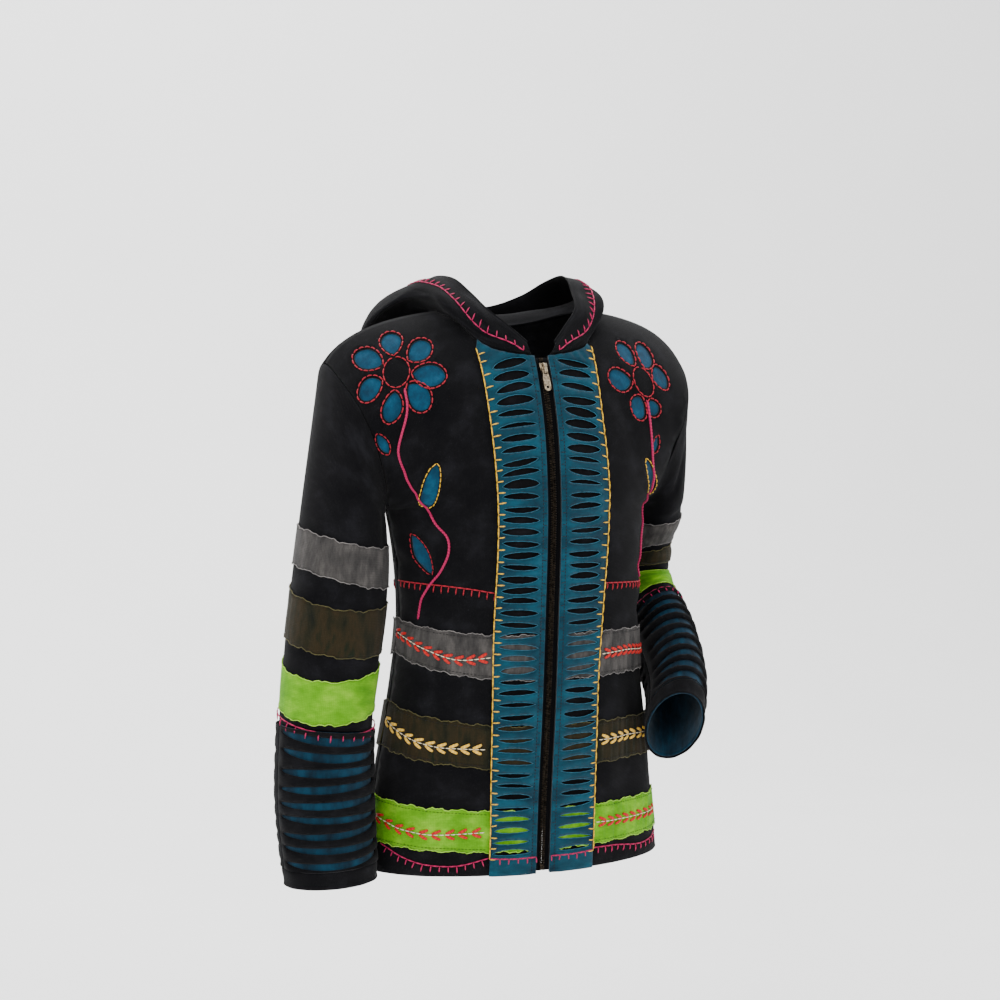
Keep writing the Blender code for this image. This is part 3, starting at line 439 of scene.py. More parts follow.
# %% [markdown]
# The hood is two halves sewn together along the middle. It is down, so each half rises from the neck
# seam and folds over to hang behind. A place is a share of the way round and a share of the way from
# seam to edge.

# %% The hood
def neck_place(share):
    """The neck seam, from the zip at 0 over the shoulder at a half to the centre back at 1."""
    share = np.asarray(share, float)
    steps = np.arange(len(FRONT_NECK["s"]))
    front = np.clip(share * 2, 0, 1) * steps[-1]
    flat = columns({"k": steps, **FRONT_NECK}, "k", "sh", front)
    flat[:, 0] = np.maximum(flat[:, 0], ZIP_HALF + 2)
    ahead = FRONT.at(flat[:, 0], flat[:, 1])
    steps = np.arange(len(BACK_NECK["s"]))
    back = np.clip(2 - share * 2, 0, 1) * steps[-1]
    flat = columns({"k": steps, **BACK_NECK}, "k", "sh", back)
    behind = BACK.at(flat[:, 0], flat[:, 1])
    return np.where((share <= 0.5)[:, None], ahead, behind)


def hood_surface():
    """Half of the hood, laid back: across goes round the neck, along goes from the seam to the edge."""
    share = np.linspace(0, 1, 97)
    stations = [neck_place(share) + (0, 0, 1.2)]
    stations += [smooth(HOOD["round"], HOOD[name], share) for name in HOOD_STATIONS]
    along = np.linspace(0, 1, 61)
    stack = np.array(stations).reshape(len(stations), -1)
    places = smooth(np.linspace(0, 1, len(stations)), stack, along).reshape(len(along), len(share), 3)
    return Surface(places, (0, 1), np.ones(len(along)), 1)


HOOD_HALF = hood_surface()
SURFACES = {"front": FRONT, "back": BACK, "hood": HOOD_HALF}


def surface_of(key, side):
    return ARMS[side] if key == "sleeve" else SURFACES[key]


print("hood edge at the centre back", HOOD_HALF.at(1, 1).round())

# %% [markdown]
# ## Creases
# A worn jacket creases where the body pulls it: from the underarm to the bust, at the waist, and round
# the elbow. A cloth simulation would give creases too, but not where this jacket has them. Each crease
# here is given as a line on the flat cloth with its own height and width.

# %% Where the creases lie
# Start, end, height (a trough is negative) and half width, in millimetres. All are this much deeper
CREASE_DEPTH = 1.4
CREASES = {
    ("front", RIGHT): (
        ((196, 430), (128, 470), -2.2, 8), ((200, 452), (150, 492), 1.6, 7),
        ((188, 405), (112, 424), -1.6, 9), ((196, 350), (118, 334), -1.8, 8),
        ((190, 320), (96, 300), 1.4, 9), ((200, 372), (150, 352), 1.2, 7),
        ((178, 290), (90, 268), -1.5, 10), ((92, 402), (84, 300), -1.2, 9),
        ((150, 196), (142, 96), 1.6, 14), ((104, 210), (98, 30), -1.8, 13),
        ((180, 118), (176, 8), -1.8, 10), ((136, 88), (134, 0), 1.4, 11),
        ((206, 500), (186, 560), -1.8, 8), ((120, 640), (92, 560), -1.0, 9),
    ),
    ("front", LEFT): (
        ((194, 424), (132, 452), -2.2, 8), ((198, 448), (148, 478), 1.5, 7),
        ((186, 396), (110, 404), -1.5, 9), ((194, 340), (116, 330), -1.8, 8),
        ((188, 312), (92, 296), 1.3, 8), ((176, 286), (84, 274), -1.5, 9),
        ((118, 214), (112, 60), -1.7, 12), ((156, 190), (152, 40), 1.5, 12),
        ((84, 198), (82, 20), 1.2, 10), ((182, 110), (178, 6), -1.8, 10),
        ((204, 494), (184, 548), -1.8, 8), ((124, 470), (96, 540), -1.1, 9),
    ),
    ("back", LEFT): (
        ((-150, 560), (-60, 470), -2.2, 11), ((150, 548), (64, 462), -2.0, 10),
        ((-190, 420), (-90, 392), -2.2, 9), ((188, 430), (84, 398), -2.4, 10),
        ((-120, 352), (30, 340), -1.8, 9), ((-20, 316), (140, 330), -2.0, 8),
        ((-96, 300), (60, 290), 1.6, 9), ((-60, 240), (-72, 20), -2.0, 14),
        ((58, 250), (66, 10), 1.8, 15), ((128, 210), (136, 4), -2.0, 12),
        ((-136, 196), (-140, 6), 1.7, 13), ((4, 150), (0, 6), -1.4, 13),
    ),
    ("sleeve", RIGHT): (
        ((70, 118), (104, 40), -2.2, 9), ((40, 150), (88, 96), 1.8, 8),
        ((120, 250), (60, 205), -1.6, 9), ((44, 330), (112, 286), -1.7, 9),
        ((118, 372), (52, 352), 1.5, 8), ((84, 226), (96, 130), 1.6, 12),
        ((22, 224), (34, 110), -2.2, 10), ((236, 300), (172, 262), -2.0, 9),
        ((252, 214), (196, 152), -2.2, 10), ((180, 362), (248, 330), -1.7, 9),
        ((206, 120), (232, 40), -2.2, 9), ((150, 180), (146, 60), 1.2, 16),
        ((2, 140), (8, 310), 8.0, 36),
    ),
    ("sleeve", LEFT): (
        ((60, 176), (120, 150), -2.0, 9), ((36, 224), (118, 236), -2.4, 8),
        ((30, 292), (122, 300), -2.4, 8), ((70, 118), (104, 44), -2.0, 9),
        ((40, 262), (112, 268), 2.0, 8), ((36, 330), (110, 346), 1.6, 7),
        ((176, 300), (250, 270), -1.8, 10), ((186, 214), (252, 190), -2.0, 10),
        ((206, 120), (232, 40), -2.0, 9),
    ),
}


def crease_lift(key, side, flat):
    """How far the creases raise or sink the cloth at flat places."""
    lift = np.zeros(len(flat))
    for start, end, height, width in CREASES.get((key, side), ()):
        start, way = np.array(start, float), np.array(end, float) - np.array(start, float)
        away = flat - start
        if key == "sleeve":
            away[:, 0] = (away[:, 0] - way[0] / 2 + GIRTH / 2) % GIRTH - GIRTH / 2 + way[0] / 2
        along = np.clip(away @ way / (way @ way), 0, 1)
        apart = np.linalg.norm(away - along[:, None] * way, axis=1)
        fade = 0.35 + 0.65 * np.sin(math.pi * along)
        lift += CREASE_DEPTH * height * np.exp(-((apart / width) ** 2)) * fade
    return lift


def on_cloth(key, side, flat, lift=0.0):
    """Places on the worn cloth, in millimetres, for flat places and a height over the cloth."""
    flat = np.asarray(flat, float).reshape(-1, 2)
    rise = np.broadcast_to(np.asarray(lift, float), len(flat)) + crease_lift(key, side, flat)
    found = surface_of(key, side).at(flat[:, 0], flat[:, 1], rise)
    found[:, 0] *= side
    return found


print("creases:", sum(len(rows) for rows in CREASES.values()))

# %% [markdown]
# ## The finishes
# Cotton is matt, because its fibres are short and twisted, with a faint soft bloom at grazing angles.
# This jacket is overdyed and washed after sewing, so every colour is clouded. Noise gives the clouds,
# and two crossed waves give the weave. A photograph of cloth would be quicker, but it would not scale.

# %% Woven cotton
WAVE_PERIOD = 0.314  # a wave texture of scale 1 repeats after this many units


FUZZ_MM, CLOUD_FROM, CLOUD_TO = 0.9, 0.32, 0.68


def woven_cotton(name, colours, cloud_mm, thread_mm, sheen, streak=1.0, roughness=0.88):
    """Dyed and washed cotton: clouded colour, a plain weave with painted shade in its hollows, and a faint
    bloom.
    """
    material, tree, shader = new_material(name)
    flat = add_node(tree, "ShaderNodeUVMap", {"uv_map": "flat"}).outputs["UV"]
    stretch = add_node(tree, "ShaderNodeMapping", {"Scale": (streak, 1 / streak, 1)}, {"Vector": flat})
    clouds = add_node(
        tree, "ShaderNodeTexNoise", {"Scale": 1 / (cloud_mm * MM), "Detail": 6.0, "Roughness": 0.62},
        {"Vector": stretch.outputs["Vector"]},
    )
    ramp = add_node(tree, "ShaderNodeValToRGB", {}, {"Fac": clouds.outputs["Fac"]})
    stops = ramp.color_ramp.elements
    stops[0].position, stops[1].position = CLOUD_FROM, CLOUD_TO
    dyes = colours.split()
    stops[0].color, stops[1].color = linear(dyes[0]), linear(dyes[-1])
    for k, dye in enumerate(dyes[1:-1]):
        stops.new(CLOUD_FROM + (CLOUD_TO - CLOUD_FROM) * (k + 1) / (len(dyes) - 1)).color = linear(dye)
    # Threads that cross give the weave, and a fine noise gives the fuzz of the fibres
    fine = {"Scale": 1 / (FUZZ_MM * MM), "Detail": 2.0}
    fuzz = add_node(tree, "ShaderNodeTexNoise", fine, {"Vector": flat})
    scale = WAVE_PERIOD / (thread_mm * MM)
    warp, weft = (
        add_node(tree, "ShaderNodeTexWave", {"bands_direction": way, "Scale": scale}, {"Vector": flat})
        for way in "XY"
    )
    cross = add_node(
        tree, "ShaderNodeMath", {"operation": "MULTIPLY"}, {0: warp.outputs["Fac"], 1: weft.outputs["Fac"]}
    )
    rough = add_node(
        tree, "ShaderNodeMath", {"operation": "ADD"}, {0: cross.outputs["Value"], 1: fuzz.outputs["Fac"]}
    ).outputs["Value"]
    bump = add_node(tree, "ShaderNodeBump", {"Strength": 0.35, "Distance": 0.0006}, {"Height": rough})
    # Colour scaled by the weave height and fuzz: painted shade in the hollows between crossing threads, plus
    # a random fibre tone
    weave_shade_and_fuzz = add_node(tree, "ShaderNodeMapRange", {"To Min": 0.82, "To Max": 1.16}, {"Value": rough})
    shade = add_node(
        tree, "ShaderNodeVectorMath", {"operation": "SCALE"},
        {0: ramp.outputs["Color"], "Scale": weave_shade_and_fuzz.outputs["Result"]},
    )
    finish_shader(tree, shader, shade.outputs["Vector"], bump, {
        "Roughness": roughness, "Sheen Weight": sheen, "Sheen Roughness": 0.5, "Specular IOR Level": 0.08,
    })
    return material


# Real threads are about 0.4 mm apart: they are drawn at 1.4 to 1.8 mm so that the weave shows.
# Each cotton has its dyes from dark to light, the sizes of clouds and threads, its bloom and its streak
COTTON = {
    "black": woven_cotton("overdyed black cotton drill", "040406 08080a 121215", 38, 1.6, 0.02, 1.0, 0.95),
    "teal": woven_cotton("teal cotton voile", "08202c 0d2f3c 154050", 30, 1.4, 0.06, 0.7),
    "petal": woven_cotton("petal blue cotton", "092638 0e3348 154259", 16, 1.4, 0.06),
    "deep": woven_cotton("deep teal lining cotton", "05141e 092230 0f3042", 26, 1.4, 0.06, 1.6),
    "grey": woven_cotton("stonewashed grey cotton", "232222 353332 494644", 22, 1.8, 0.06, 1.7),
    "olive": woven_cotton("olive tie-dyed cotton", "0c0f09 19180d 241d10 0f160c", 30, 1.8, 0.05, 1.9),
    "lime": woven_cotton("lime tie-dyed cotton", "3a7005 528a0a 6fa01c", 26, 1.8, 0.05, 0.8),
}
# A torn edge is paler than its strip, because the wash reaches the middle of its threads
EDGES = {
    cloth: woven_cotton(f"frayed {cloth} edge", colours, 4, 1.0, 0.1, roughness=0.95)
    for cloth, colours in {
        "teal": "184354 2b6074", "grey": "565353 7c7875", "olive": "37341f 55502f",
        "lime": "74a820 a0cc4c", "black": "0a0a0c 151518",
    }.items()
}
print("cottons:", len(COTTON), "and frayed edges:", len(EDGES))

# %% [markdown]
# Embroidery here is stranded cotton: a few softly twisted plies with a slight gloss, as they lie
# parallel. A slanted wave along each stitch gives the twist.


# %% Stranded thread
# One ply turns every 2 mm, which is coarser than the real 1 mm so that the twist shows
PLY_MM, THREAD_CLOUD_MM = 2.0, 9.0


def stranded_thread(name, colours, roughness=0.6):
    """A slight gloss on soft plies, with painted shade that keeps the hollows between them darker than their
    tops.
    """
    material, tree, shader = new_material(name)
    flat = add_node(tree, "ShaderNodeUVMap", {"uv_map": "flat"}).outputs["UV"]
    ply = add_node(
        tree, "ShaderNodeTexWave", {"bands_direction": "DIAGONAL", "Scale": WAVE_PERIOD / (PLY_MM * MM)},
        {"Vector": flat},
    ).outputs["Fac"]
    wear = add_node(tree, "ShaderNodeTexNoise", {"Scale": 1 / (THREAD_CLOUD_MM * MM)}, {"Vector": flat})
    # The colour follows the plies as painted shade in their hollows, plus a random worn tone from the noise
    ply_shade_and_wear = add_node(
        tree, "ShaderNodeMath", {"operation": "MULTIPLY_ADD", 1: 0.35}, {0: ply, 2: wear.outputs["Fac"]}
    )
    ramp = add_node(tree, "ShaderNodeValToRGB", {}, {"Fac": ply_shade_and_wear.outputs["Value"]})
    for stop, place, colour in zip(ramp.color_ramp.elements, (0.35, 0.9), colours.split()):
        stop.position = place
        stop.color = linear(colour)
    bump = add_node(tree, "ShaderNodeBump", {"Strength": 0.5, "Distance": 0.0004}, {"Height": ply})
    finish_shader(tree, shader, ramp.outputs["Color"], bump, {
        "Roughness": roughness, "Sheen Weight": 0.05, "Specular IOR Level": 0.2,
    })
    return material


THREAD = {
    "yellow": stranded_thread("yellow stranded cotton", "9c7416 d4a82c"),
    "red": stranded_thread("red stranded cotton", "5c0814 9c1426"),
    "pink": stranded_thread("pink stranded cotton", "66082e a8124c"),
    "cream": stranded_thread("cream stranded cotton", "a47c20 dcb048"),
    "white": stranded_thread("ecru stranded cotton", "a89c84 d8ccb0"),
    "leaf": stranded_thread("scarlet stranded cotton", "7a070a b41a12"),
    "black": stranded_thread("black sewing thread", "030304 08080a", 0.8),
    "ink": stranded_thread("ink blue sewing thread", "02070b 051019", 0.8),
}
print("threads:", len(THREAD))

# %% [markdown]
# The slider and teeth are brass with an antique finish: plated, darkened and rubbed back, so it is warm
# and bright on the high places and brown in the low ones. The tape is woven polyester in a fine rib.


# %% Brass and zip tape
# The ribs of the tape are 0.6 mm apart and are drawn at 1.2 mm so that they show
RUB_MM, RIB_MM = 2.5, 1.2


def antique_brass(name, colours, roughness):
    """Metal whose rubbed spots are brighter and smoother than its darkened ones."""
    material, tree, shader = new_material(name)
    place = add_node(tree, "ShaderNodeTexCoord", {}).outputs["Object"]
    wear = add_node(
        tree, "ShaderNodeTexNoise", {"Scale": 1 / (RUB_MM * MM), "Detail": 4.0}, {"Vector": place}
    ).outputs["Fac"]
    ramp = add_node(tree, "ShaderNodeValToRGB", {}, {"Fac": wear})
    for stop, place, colour in zip(ramp.color_ramp.elements, (0.38, 0.62), colours.split()):
        stop.position = place
        stop.color = linear(colour)
    ends = {"To Min": roughness + 0.12, "To Max": roughness - 0.08}
    dull = add_node(tree, "ShaderNodeMapRange", ends, {"Value": wear})
    bump = add_node(tree, "ShaderNodeBump", {"Strength": 0.15, "Distance": 0.0002}, {"Height": wear})
    tree.links.new(dull.outputs["Result"], shader.inputs["Roughness"])
    finish_shader(tree, shader, ramp.outputs["Color"], bump, {"Metallic": 1.0})
    return material


def ribbed_tape(name):
    """Matt woven tape: a slanted rib, with painted light on its ridges and painted shade that keeps its
    furrows black.
    """
    material, tree, shader = new_material(name)
    flat = add_node(tree, "ShaderNodeUVMap", {"uv_map": "flat"}).outputs["UV"]
    rib = add_node(
        tree, "ShaderNodeTexWave", {"bands_direction": "DIAGONAL", "Scale": WAVE_PERIOD / (RIB_MM * MM)},
        {"Vector": flat},
    ).outputs["Fac"]
    # The rib height sets the colour: painted light on the ridges, painted shade in the furrows
    ramp = add_node(tree, "ShaderNodeValToRGB", {}, {"Fac": rib})
    for stop, colour in zip(ramp.color_ramp.elements, ("040405", "0b0b0d")):
        stop.color = linear(colour)
    bump = add_node(tree, "ShaderNodeBump", {"Strength": 0.4, "Distance": 0.0003}, {"Height": rib})
    finish_shader(
        tree, shader, ramp.outputs["Color"], bump, {"Roughness": 0.9, "Specular IOR Level": 0.05}
    )
    return material


BRASS_TEETH = antique_brass("darkened brass teeth", "14110e 3a332a", 0.42)
BRASS_SLIDER = antique_brass("rubbed antique brass", "6a5f50 b4a68e", 0.3)
TAPE = ribbed_tape("woven black zip tape")
print("metals: 2, tapes: 1")

# %% [markdown]
# ## Cutting and laying cloth
# A cut piece is an outline with its windows. Triangles fill it on the cutting table, and each point is
# then laid on the worn surface. Solidify gives the thickness, and its rim can take the frayed finish.


# %% The cutting table
def inside(points, outline):
    """Which points lie inside a closed outline."""
    found = np.zeros(len(points), bool)
    x, y = points[:, 0], points[:, 1]
    for (x0, y0), (x1, y1) in zip(outline, np.roll(outline, -1, 0)):
        crosses = (y0 > y) != (y1 > y)
        with np.errstate(divide="ignore", invalid="ignore"):
            found ^= crosses & (x < (x1 - x0) * (y - y0) / (y1 - y0) + x0)
    return found


def cut_out(outline, holes, step):
    """Triangles that fill an outline round its holes, with inner points about a step apart."""
    outline = np.asarray(outline, float)
    holes = [np.asarray(hole, float) for hole in holes]
    low, high = outline.min(0), outline.max(0)
    rows = np.arange(low[1] + step / 2, high[1], step * 0.87)
    inner = np.array(
        [
            (x + (step / 2 if k % 2 else 0), y)
            for k, y in enumerate(rows)
            for x in np.arange(low[0] + step / 2, high[0], step)
        ]
    ).reshape(-1, 2)
    rim = np.vstack([outline, *holes])
    keep = inside(inner, outline)
    for hole in holes:
        keep &= ~inside(inner, hole)
    keep &= np.array([np.hypot(*(rim - p).T).min() > step * 0.5 for p in inner], bool)
    edges, first = [], 0
    for loop in (outline, *holes):
        edges += [(first + k, first + (k + 1) % len(loop)) for k in range(len(loop))]
        first += len(loop)
    points = np.vstack([rim, inner[keep]])
    found = delaunay_2d_cdt([tuple(p) for p in points], edges, [], 0, 1e-5)
    flat = np.array([tuple(p) for p in found[0]])
    faces = [f for f in found[2]]
    middle = np.array([flat[list(f)].mean(0) for f in faces])
    kept = inside(middle, outline)
    for hole in holes:
        kept &= ~inside(middle, hole)
    return flat, [f for f, k in zip(faces, kept) if k]


def grid_faces(rows, cols, loop=False):
    last = cols if loop else cols - 1
    return [
        (r * cols + c, r * cols + (c + 1) % cols, (r + 1) * cols + (c + 1) % cols, (r + 1) * cols + c)
        for r in range(rows - 1)
        for c in range(last)
    ]


def fine_line(start, end, step):
    """Places from start to just before end, about a step apart."""
    start, end = np.asarray(start, float), np.asarray(end, float)
    count = max(1, round(float(np.linalg.norm(end - start)) / step))
    return [tuple(start + (end - start) * k / count) for k in range(count)]


print("a square on the table:", len(cut_out(((0, 0), (30, 0), (30, 30), (0, 30)), [], 8)[1]), "triangles")

# %% [markdown]
# A maker cuts a piece flat and then sews it on. It is the same here: a flat mesh is laid on its surface
# and is given its thickness last. It keeps its flat places for the weave, so the threads stay even on a
# bent form.

# %% Laying a piece
UV_SHIFT = 0.35


def make_mesh(name, places, faces, flat, finishes):
    """A mesh object from places in millimetres, with its flat coordinates as a UV map in metres."""
    mesh = bpy.data.meshes.new(name)
    mesh.from_pydata([tuple(p) for p in np.asarray(places) * MM], [], [tuple(f) for f in faces])
    layer = mesh.uv_layers.new(name="flat")
    corners = np.empty(len(mesh.loops), int)
    mesh.loops.foreach_get("vertex_index", corners)
    layer.data.foreach_set("uv", (np.asarray(flat, float)[corners] * MM + UV_SHIFT).ravel())
    for finish in finishes:
        mesh.materials.append(finish)
    mesh.shade_smooth()
    piece = bpy.data.objects.new(name, mesh)
    bpy.context.scene.collection.objects.link(piece)
    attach(piece, "garment")
    return piece


def lay_cloth(node, key, side, flat, faces, lift, wall, cloth, edge=None, uv=None):
    """Lays a cut piece on the worn surface in place of its rigid part."""
    flat = np.asarray(flat, float)
    places = on_cloth(key, side, flat, lift)
    if surface_of(key, side).outward * side < 0:
        faces = [f[::-1] for f in faces]
    finishes = [COTTON[cloth]] + ([EDGES[edge]] if edge else [])
    piece = make_mesh(f"cloth_{node}", places, faces, flat if uv is None else uv, finishes)
    solid = piece.modifiers.new("cloth thickness", "SOLIDIFY")
    solid.thickness = wall * MM
    solid.offset = -1
    solid.material_offset_rim = 1 if edge else 0
    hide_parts(node)
    return piece


def wavy(at, seed, size):
    """An uneven raw edge, repeatable for each seed."""
    at = np.asarray(at, float)
    waves = ((27.0, 1.0), (11.0, 2.3), (5.2, 4.1))
    return size * sum(np.sin(at * 2 * math.pi / w + seed * p) / (1 + i) for i, (w, p) in enumerate(waves))


print("ready to lay cloth")

# %% [markdown]
# ## The body
# Each front is one piece of black cotton. Petals and leaves are windows cut in it, with blue cotton sewn
# behind: this is reverse applique. Laying patches on top would be easier, but the black has to stand
# proud of the blue, as it does on the jacket.

# %% Flowers and leaves
WALL, PATCH, SEAM = 1.2, 0.8, 0.3
FLOWERS = {
    RIGHT: {
        "centre": (162, 594),
        "tip_s": (155, 118, 111, 135, 180, 209, 200),
        "tip_h": (640, 612, 571, 547, 549, 590, 634),
    },
    LEFT: {
        "centre": (134, 570),
        "tip_s": (109, 150, 174, 151, 120, 84),
        "tip_h": (606, 616, 590, 540, 528, 558),
    },
}
PETAL_ROOT, PETAL_HALF, RING = 19.0, 10.8, 15.0
LEAVES = {
    RIGHT: {
        "red_high": ((184, 516), (195, 540), 5),
        "yellow": ((140, 416), (130, 484), 6, 0.92, 28, 0.5, 2.4),
        "red_low": ((137, 338), (163, 380), 9, 1.0, 28, 0.7, 0.9),
    },
    LEFT: {
        "red_high": ((154, 500), (158, 519), 4.5),
        "yellow": ((170, 440), (139, 486), 5, 0.8, 28, 0.55, 2.4),
    },
}


def leaf_outline(base, tip, half, widest=0.85, points=28, blunt=0.8, other=1.0):
    """A leaf between two places, or a petal when its widest part lies towards the tip.

    Blunt below 1 rounds its ends, and other is the second side's width as a share of the first's.
    """
    base, tip = np.array(base, float), np.array(tip, float)
    way = tip - base
    side = np.array([-way[1], way[0]]) / np.linalg.norm(way)
    steps = np.linspace(0, 1, points // 2 + 1) ** 0.9
    swell = np.sin(math.pi * steps**widest).clip(0) ** blunt * half
    right = [base + way * t + side * w for t, w in zip(steps, swell)]
    left = [base + way * t - side * w * other for t, w in zip(steps[1:-1], swell[1:-1])]
    return np.array(right + left[::-1])


def petals(side):
    flower = FLOWERS[side]
    centre = np.array(flower["centre"], float)
    found = []
    for tip in zip(flower["tip_s"], flower["tip_h"]):
        root = centre + (tip - centre) * PETAL_ROOT / math.dist(tip, centre)
        found.append(leaf_outline(root, tip, PETAL_HALF, 1.2, 40, 0.55))
    return found


print("petals:", len(petals(RIGHT)), "on the right and", len(petals(LEFT)), "on the left")


# %% [markdown]
# The fronts are black cotton with flower and leaf windows cut right through, which is called reverse
# applique. The windows are real holes and not a drawn pattern, because their cut edges throw a thin
# shadow on the blue.

# %% Fronts and back
def neck_height(across):
    return smooth(FRONT_NECK["s"], FRONT_NECK["h"], across)[:, 0]


def panel_outline(surface, neck, inner, step=7.0):
    """Half of a panel, from the centre edge along the hem, up the side, the shoulder and the neckline."""
    top = SHOULDER - SEAM
    outline = fine_line((inner, 0), (surface.width_at(0) - SEAM, 0), step)
    outline += [(float(surface.width_at(h)) - SEAM, h) for h in np.linspace(0, top, 96)]
    outline += fine_line((float(surface.width_at(top)) - SEAM, top), (neck["s"][-1], top), step)[1:]
    knots = np.arange(len(neck["s"]))
    for s, h in columns({"k": knots, **neck}, "k", "sh", np.linspace(knots[-1], 0, 34)):
        if s > inner:
            outline.append((float(s), min(float(h), top)))
    if inner:
        outline += fine_line((inner, float(neck_height(inner)[0])), (inner, 0), step)
    return outline


for side, word in SIDE_NAMES.items():
    windows = petals(side) + [leaf_outline(*leaf) for leaf in LEAVES[side].values()]
    flat, faces = cut_out(panel_outline(FRONT, FRONT_NECK, ZIP_HALF), windows, 8.0)
    lay_cloth(f"front_{word}", "front", side, flat, faces, 0, WALL, "black", "black")
    print("front", word, len(faces), "triangles")

half = panel_outline(BACK, BACK_NECK, 0.0)
other = [(-s, h) for s, h in half[::-1] if s > 0.5]
flat, faces = cut_out(half + other, [], 9.5)
lay_cloth("back", "back", LEFT, flat, faces, 0, WALL, "black")
print("back", len(faces), "triangles")


# %% [markdown]
# Behind each flower and each leaf a piece of blue cotton is sewn to the inside. It lies just below the
# black, and that small step gives the windows their depth.

# %% Blue cotton behind the windows
def backing(node, side, outline, lift, cloth, puff):
    """A patch behind a window, with a slight uneven ripple over it."""
    flat, faces = cut_out(outline, [], 5.0)
    rise = lift + puff * wavy(flat[:, 0] * 1.7 + flat[:, 1], 2.0, 1.0)
    lay_cloth(node, "front", side, flat, faces, rise, PATCH, cloth)


BACKING_DEPTH = WALL + 0.35
for side, word in SIDE_NAMES.items():
    centre = np.array(FLOWERS[side]["centre"], float)
    reach = np.vstack(petals(side)) - centre
    patch = []
    for turn in np.linspace(0, 2 * math.pi, 61)[:-1]:
        way = np.array([math.sin(turn), math.cos(turn)])
        s, h = centre + way * (float((reach @ way).max()) + 4)
        h = min(h, SHOULDER - 8)
        patch.append((min(s, float(FRONT.width_at(h)) - 5), h))
    backing(f"flower_backing_{word}", side, patch, -BACKING_DEPTH, "petal", 0.12)
    for name, (base, tip, half, *shape) in LEAVES[side].items():
        way = (np.array(tip) - np.array(base)) / math.dist(tip, base) * 5
        outline = leaf_outline(base - way, tip + way, half + 3, *shape)
        backing(f"leaf_backing_{name}_{word}", side, outline, -BACKING_DEPTH, "petal", 0.1)
print("backings laid")

# %% [markdown]
# ## The raw-edged bands
# Strips of grey, olive and lime cotton are torn, laid flat and sewn down, and the wash then frays and
# puckers them. A displacement texture could pucker them at random. Here the pucker runs across the
# strip, as thread pull makes it, and the frayed edge is a thin wavy thread of its own.

# %% Bands on the body and sleeves
# Low and high edge, then how much each has risen where it meets the side seam
BODY_BANDS = {
    "grey": {"low": 219, "high": 270, RIGHT: (26, 14), LEFT: (-6, -9)},
    "olive": {"low": 121, "high": 168, RIGHT: (18, 22), LEFT: (-5, -11)},
    "lime": {"low": 27, "high": 74, RIGHT: (8, 10), LEFT: (1, -5)},
}
# On a sleeve: the two edges, how far the whole band sits lower, and how much more it sags on the
# inner side and at the front
SLEEVE_BANDS = {
    RIGHT: {"grey": (172, 214, 9, 8, 3), "olive": (240, 292, 5, 1, 10), "lime": (314, 360, 5, -7, 13)},
    LEFT: {"grey": (165, 214, 11, 11, 1), "olive": (228, 270, 7, 7, 2), "lime": (298, 360, 3, 3, 4)},
}
ON_PANEL, ON_BACK, RAW = 1.7, 2.2, 0.9


def band_edges(band, side, share):
    """Low and high edge of a body band, for shares of the way from the zip to the side seam."""
    low_rise, high_rise = band[side]
    return band["low"] + low_rise * share**2.2, band["high"] + high_rise * share**2.2


def pucker(flat, seed, size):
    """Fine gathers that run across a strip, uneven from one to the next."""
    waves = ((13.0, 1.0), (7.4, 2.0), (4.9, 3.1))
    lean = 0.05 * flat[:, 1] * np.sin(flat[:, 0] / 23 + seed)
    across = (flat[:, 0] + lean) * 2 * math.pi
    return size * sum(np.sin(across / w + seed * p) / (1 + 0.5 * i) for i, (w, p) in enumerate(waves))


def band_flat(across, low, high, seed, rows):
    """Flat places of a strip between two raw edges."""
    share = np.linspace(0, 1, rows)[:, None]
    along = (low + wavy(across, seed, RAW)) * (1 - share) + (high + wavy(across, seed + 1.7, RAW)) * share
    return np.stack([np.broadcast_to(across, along.shape), along], axis=2)


FRAYS = {"grey": [], "olive": [], "lime": []}
for k, (cloth, band) in enumerate(BODY_BANDS.items()):
    middle = (band["low"] + band["high"]) / 2
    for side, word in SIDE_NAMES.items():
        wide = float(FRONT.width_at(middle))
        across = np.linspace(ZIP_HALF + 1, wide - 1, 110)
        flat = band_flat(across, *band_edges(band, side, across / wide), 2.1 * k + side, 12)
        gather = pucker(flat.reshape(-1, 2), k + side, 0.34 if side == LEFT else 0.16)
        FRAYS[cloth] += [("front", side, flat[0], ON_PANEL), ("front", side, flat[-1], ON_PANEL)]
        lay_cloth(
            f"band_{cloth}_front_{word}", "front", side, flat.reshape(-1, 2), grid_faces(12, 110),
            ON_PANEL + gather - 0.3, PATCH, cloth, cloth,
        )
    wide = float(BACK.width_at(middle)) - 1
    across = np.linspace(-wide, wide, 220)
    near = band_edges(band, RIGHT, (-across / wide).clip(0))
    far = band_edges(band, LEFT, (across / wide).clip(0))
    low, high = (np.where(across < 0, n, f) for n, f in zip(near, far))
    flat = band_flat(across, low, high, 2.1 * k + 5, 12)
    FRAYS[cloth] += [("back", LEFT, flat[0], ON_BACK), ("back", LEFT, flat[-1], ON_BACK)]
    gather = pucker(flat.reshape(-1, 2), k + 3, 0.24)
    lay_cloth(
        f"band_{cloth}_back", "back", LEFT, flat.reshape(-1, 2), grid_faces(12, 220), ON_BACK + gather, PATCH,
        cloth, cloth,
    )
print("body bands laid:", 3 * len(BODY_BANDS))

# %% [markdown]
# Each sleeve is a black tube with raw-edged bands sewn over it. Sewing draws a band up a little along
# its length, so its height over the sleeve varies slightly.

# %% Sleeves with their bands
CUFF_TOP, CUFF_HEM, ROUND = 386.0, 540.0, 96
RING_ACROSS = np.arange(ROUND) / ROUND * GIRTH


def down_to(rows):
    """Shares of the way from the first of so many rows to the last."""
    return np.linspace(0, 1, rows)[:, None]


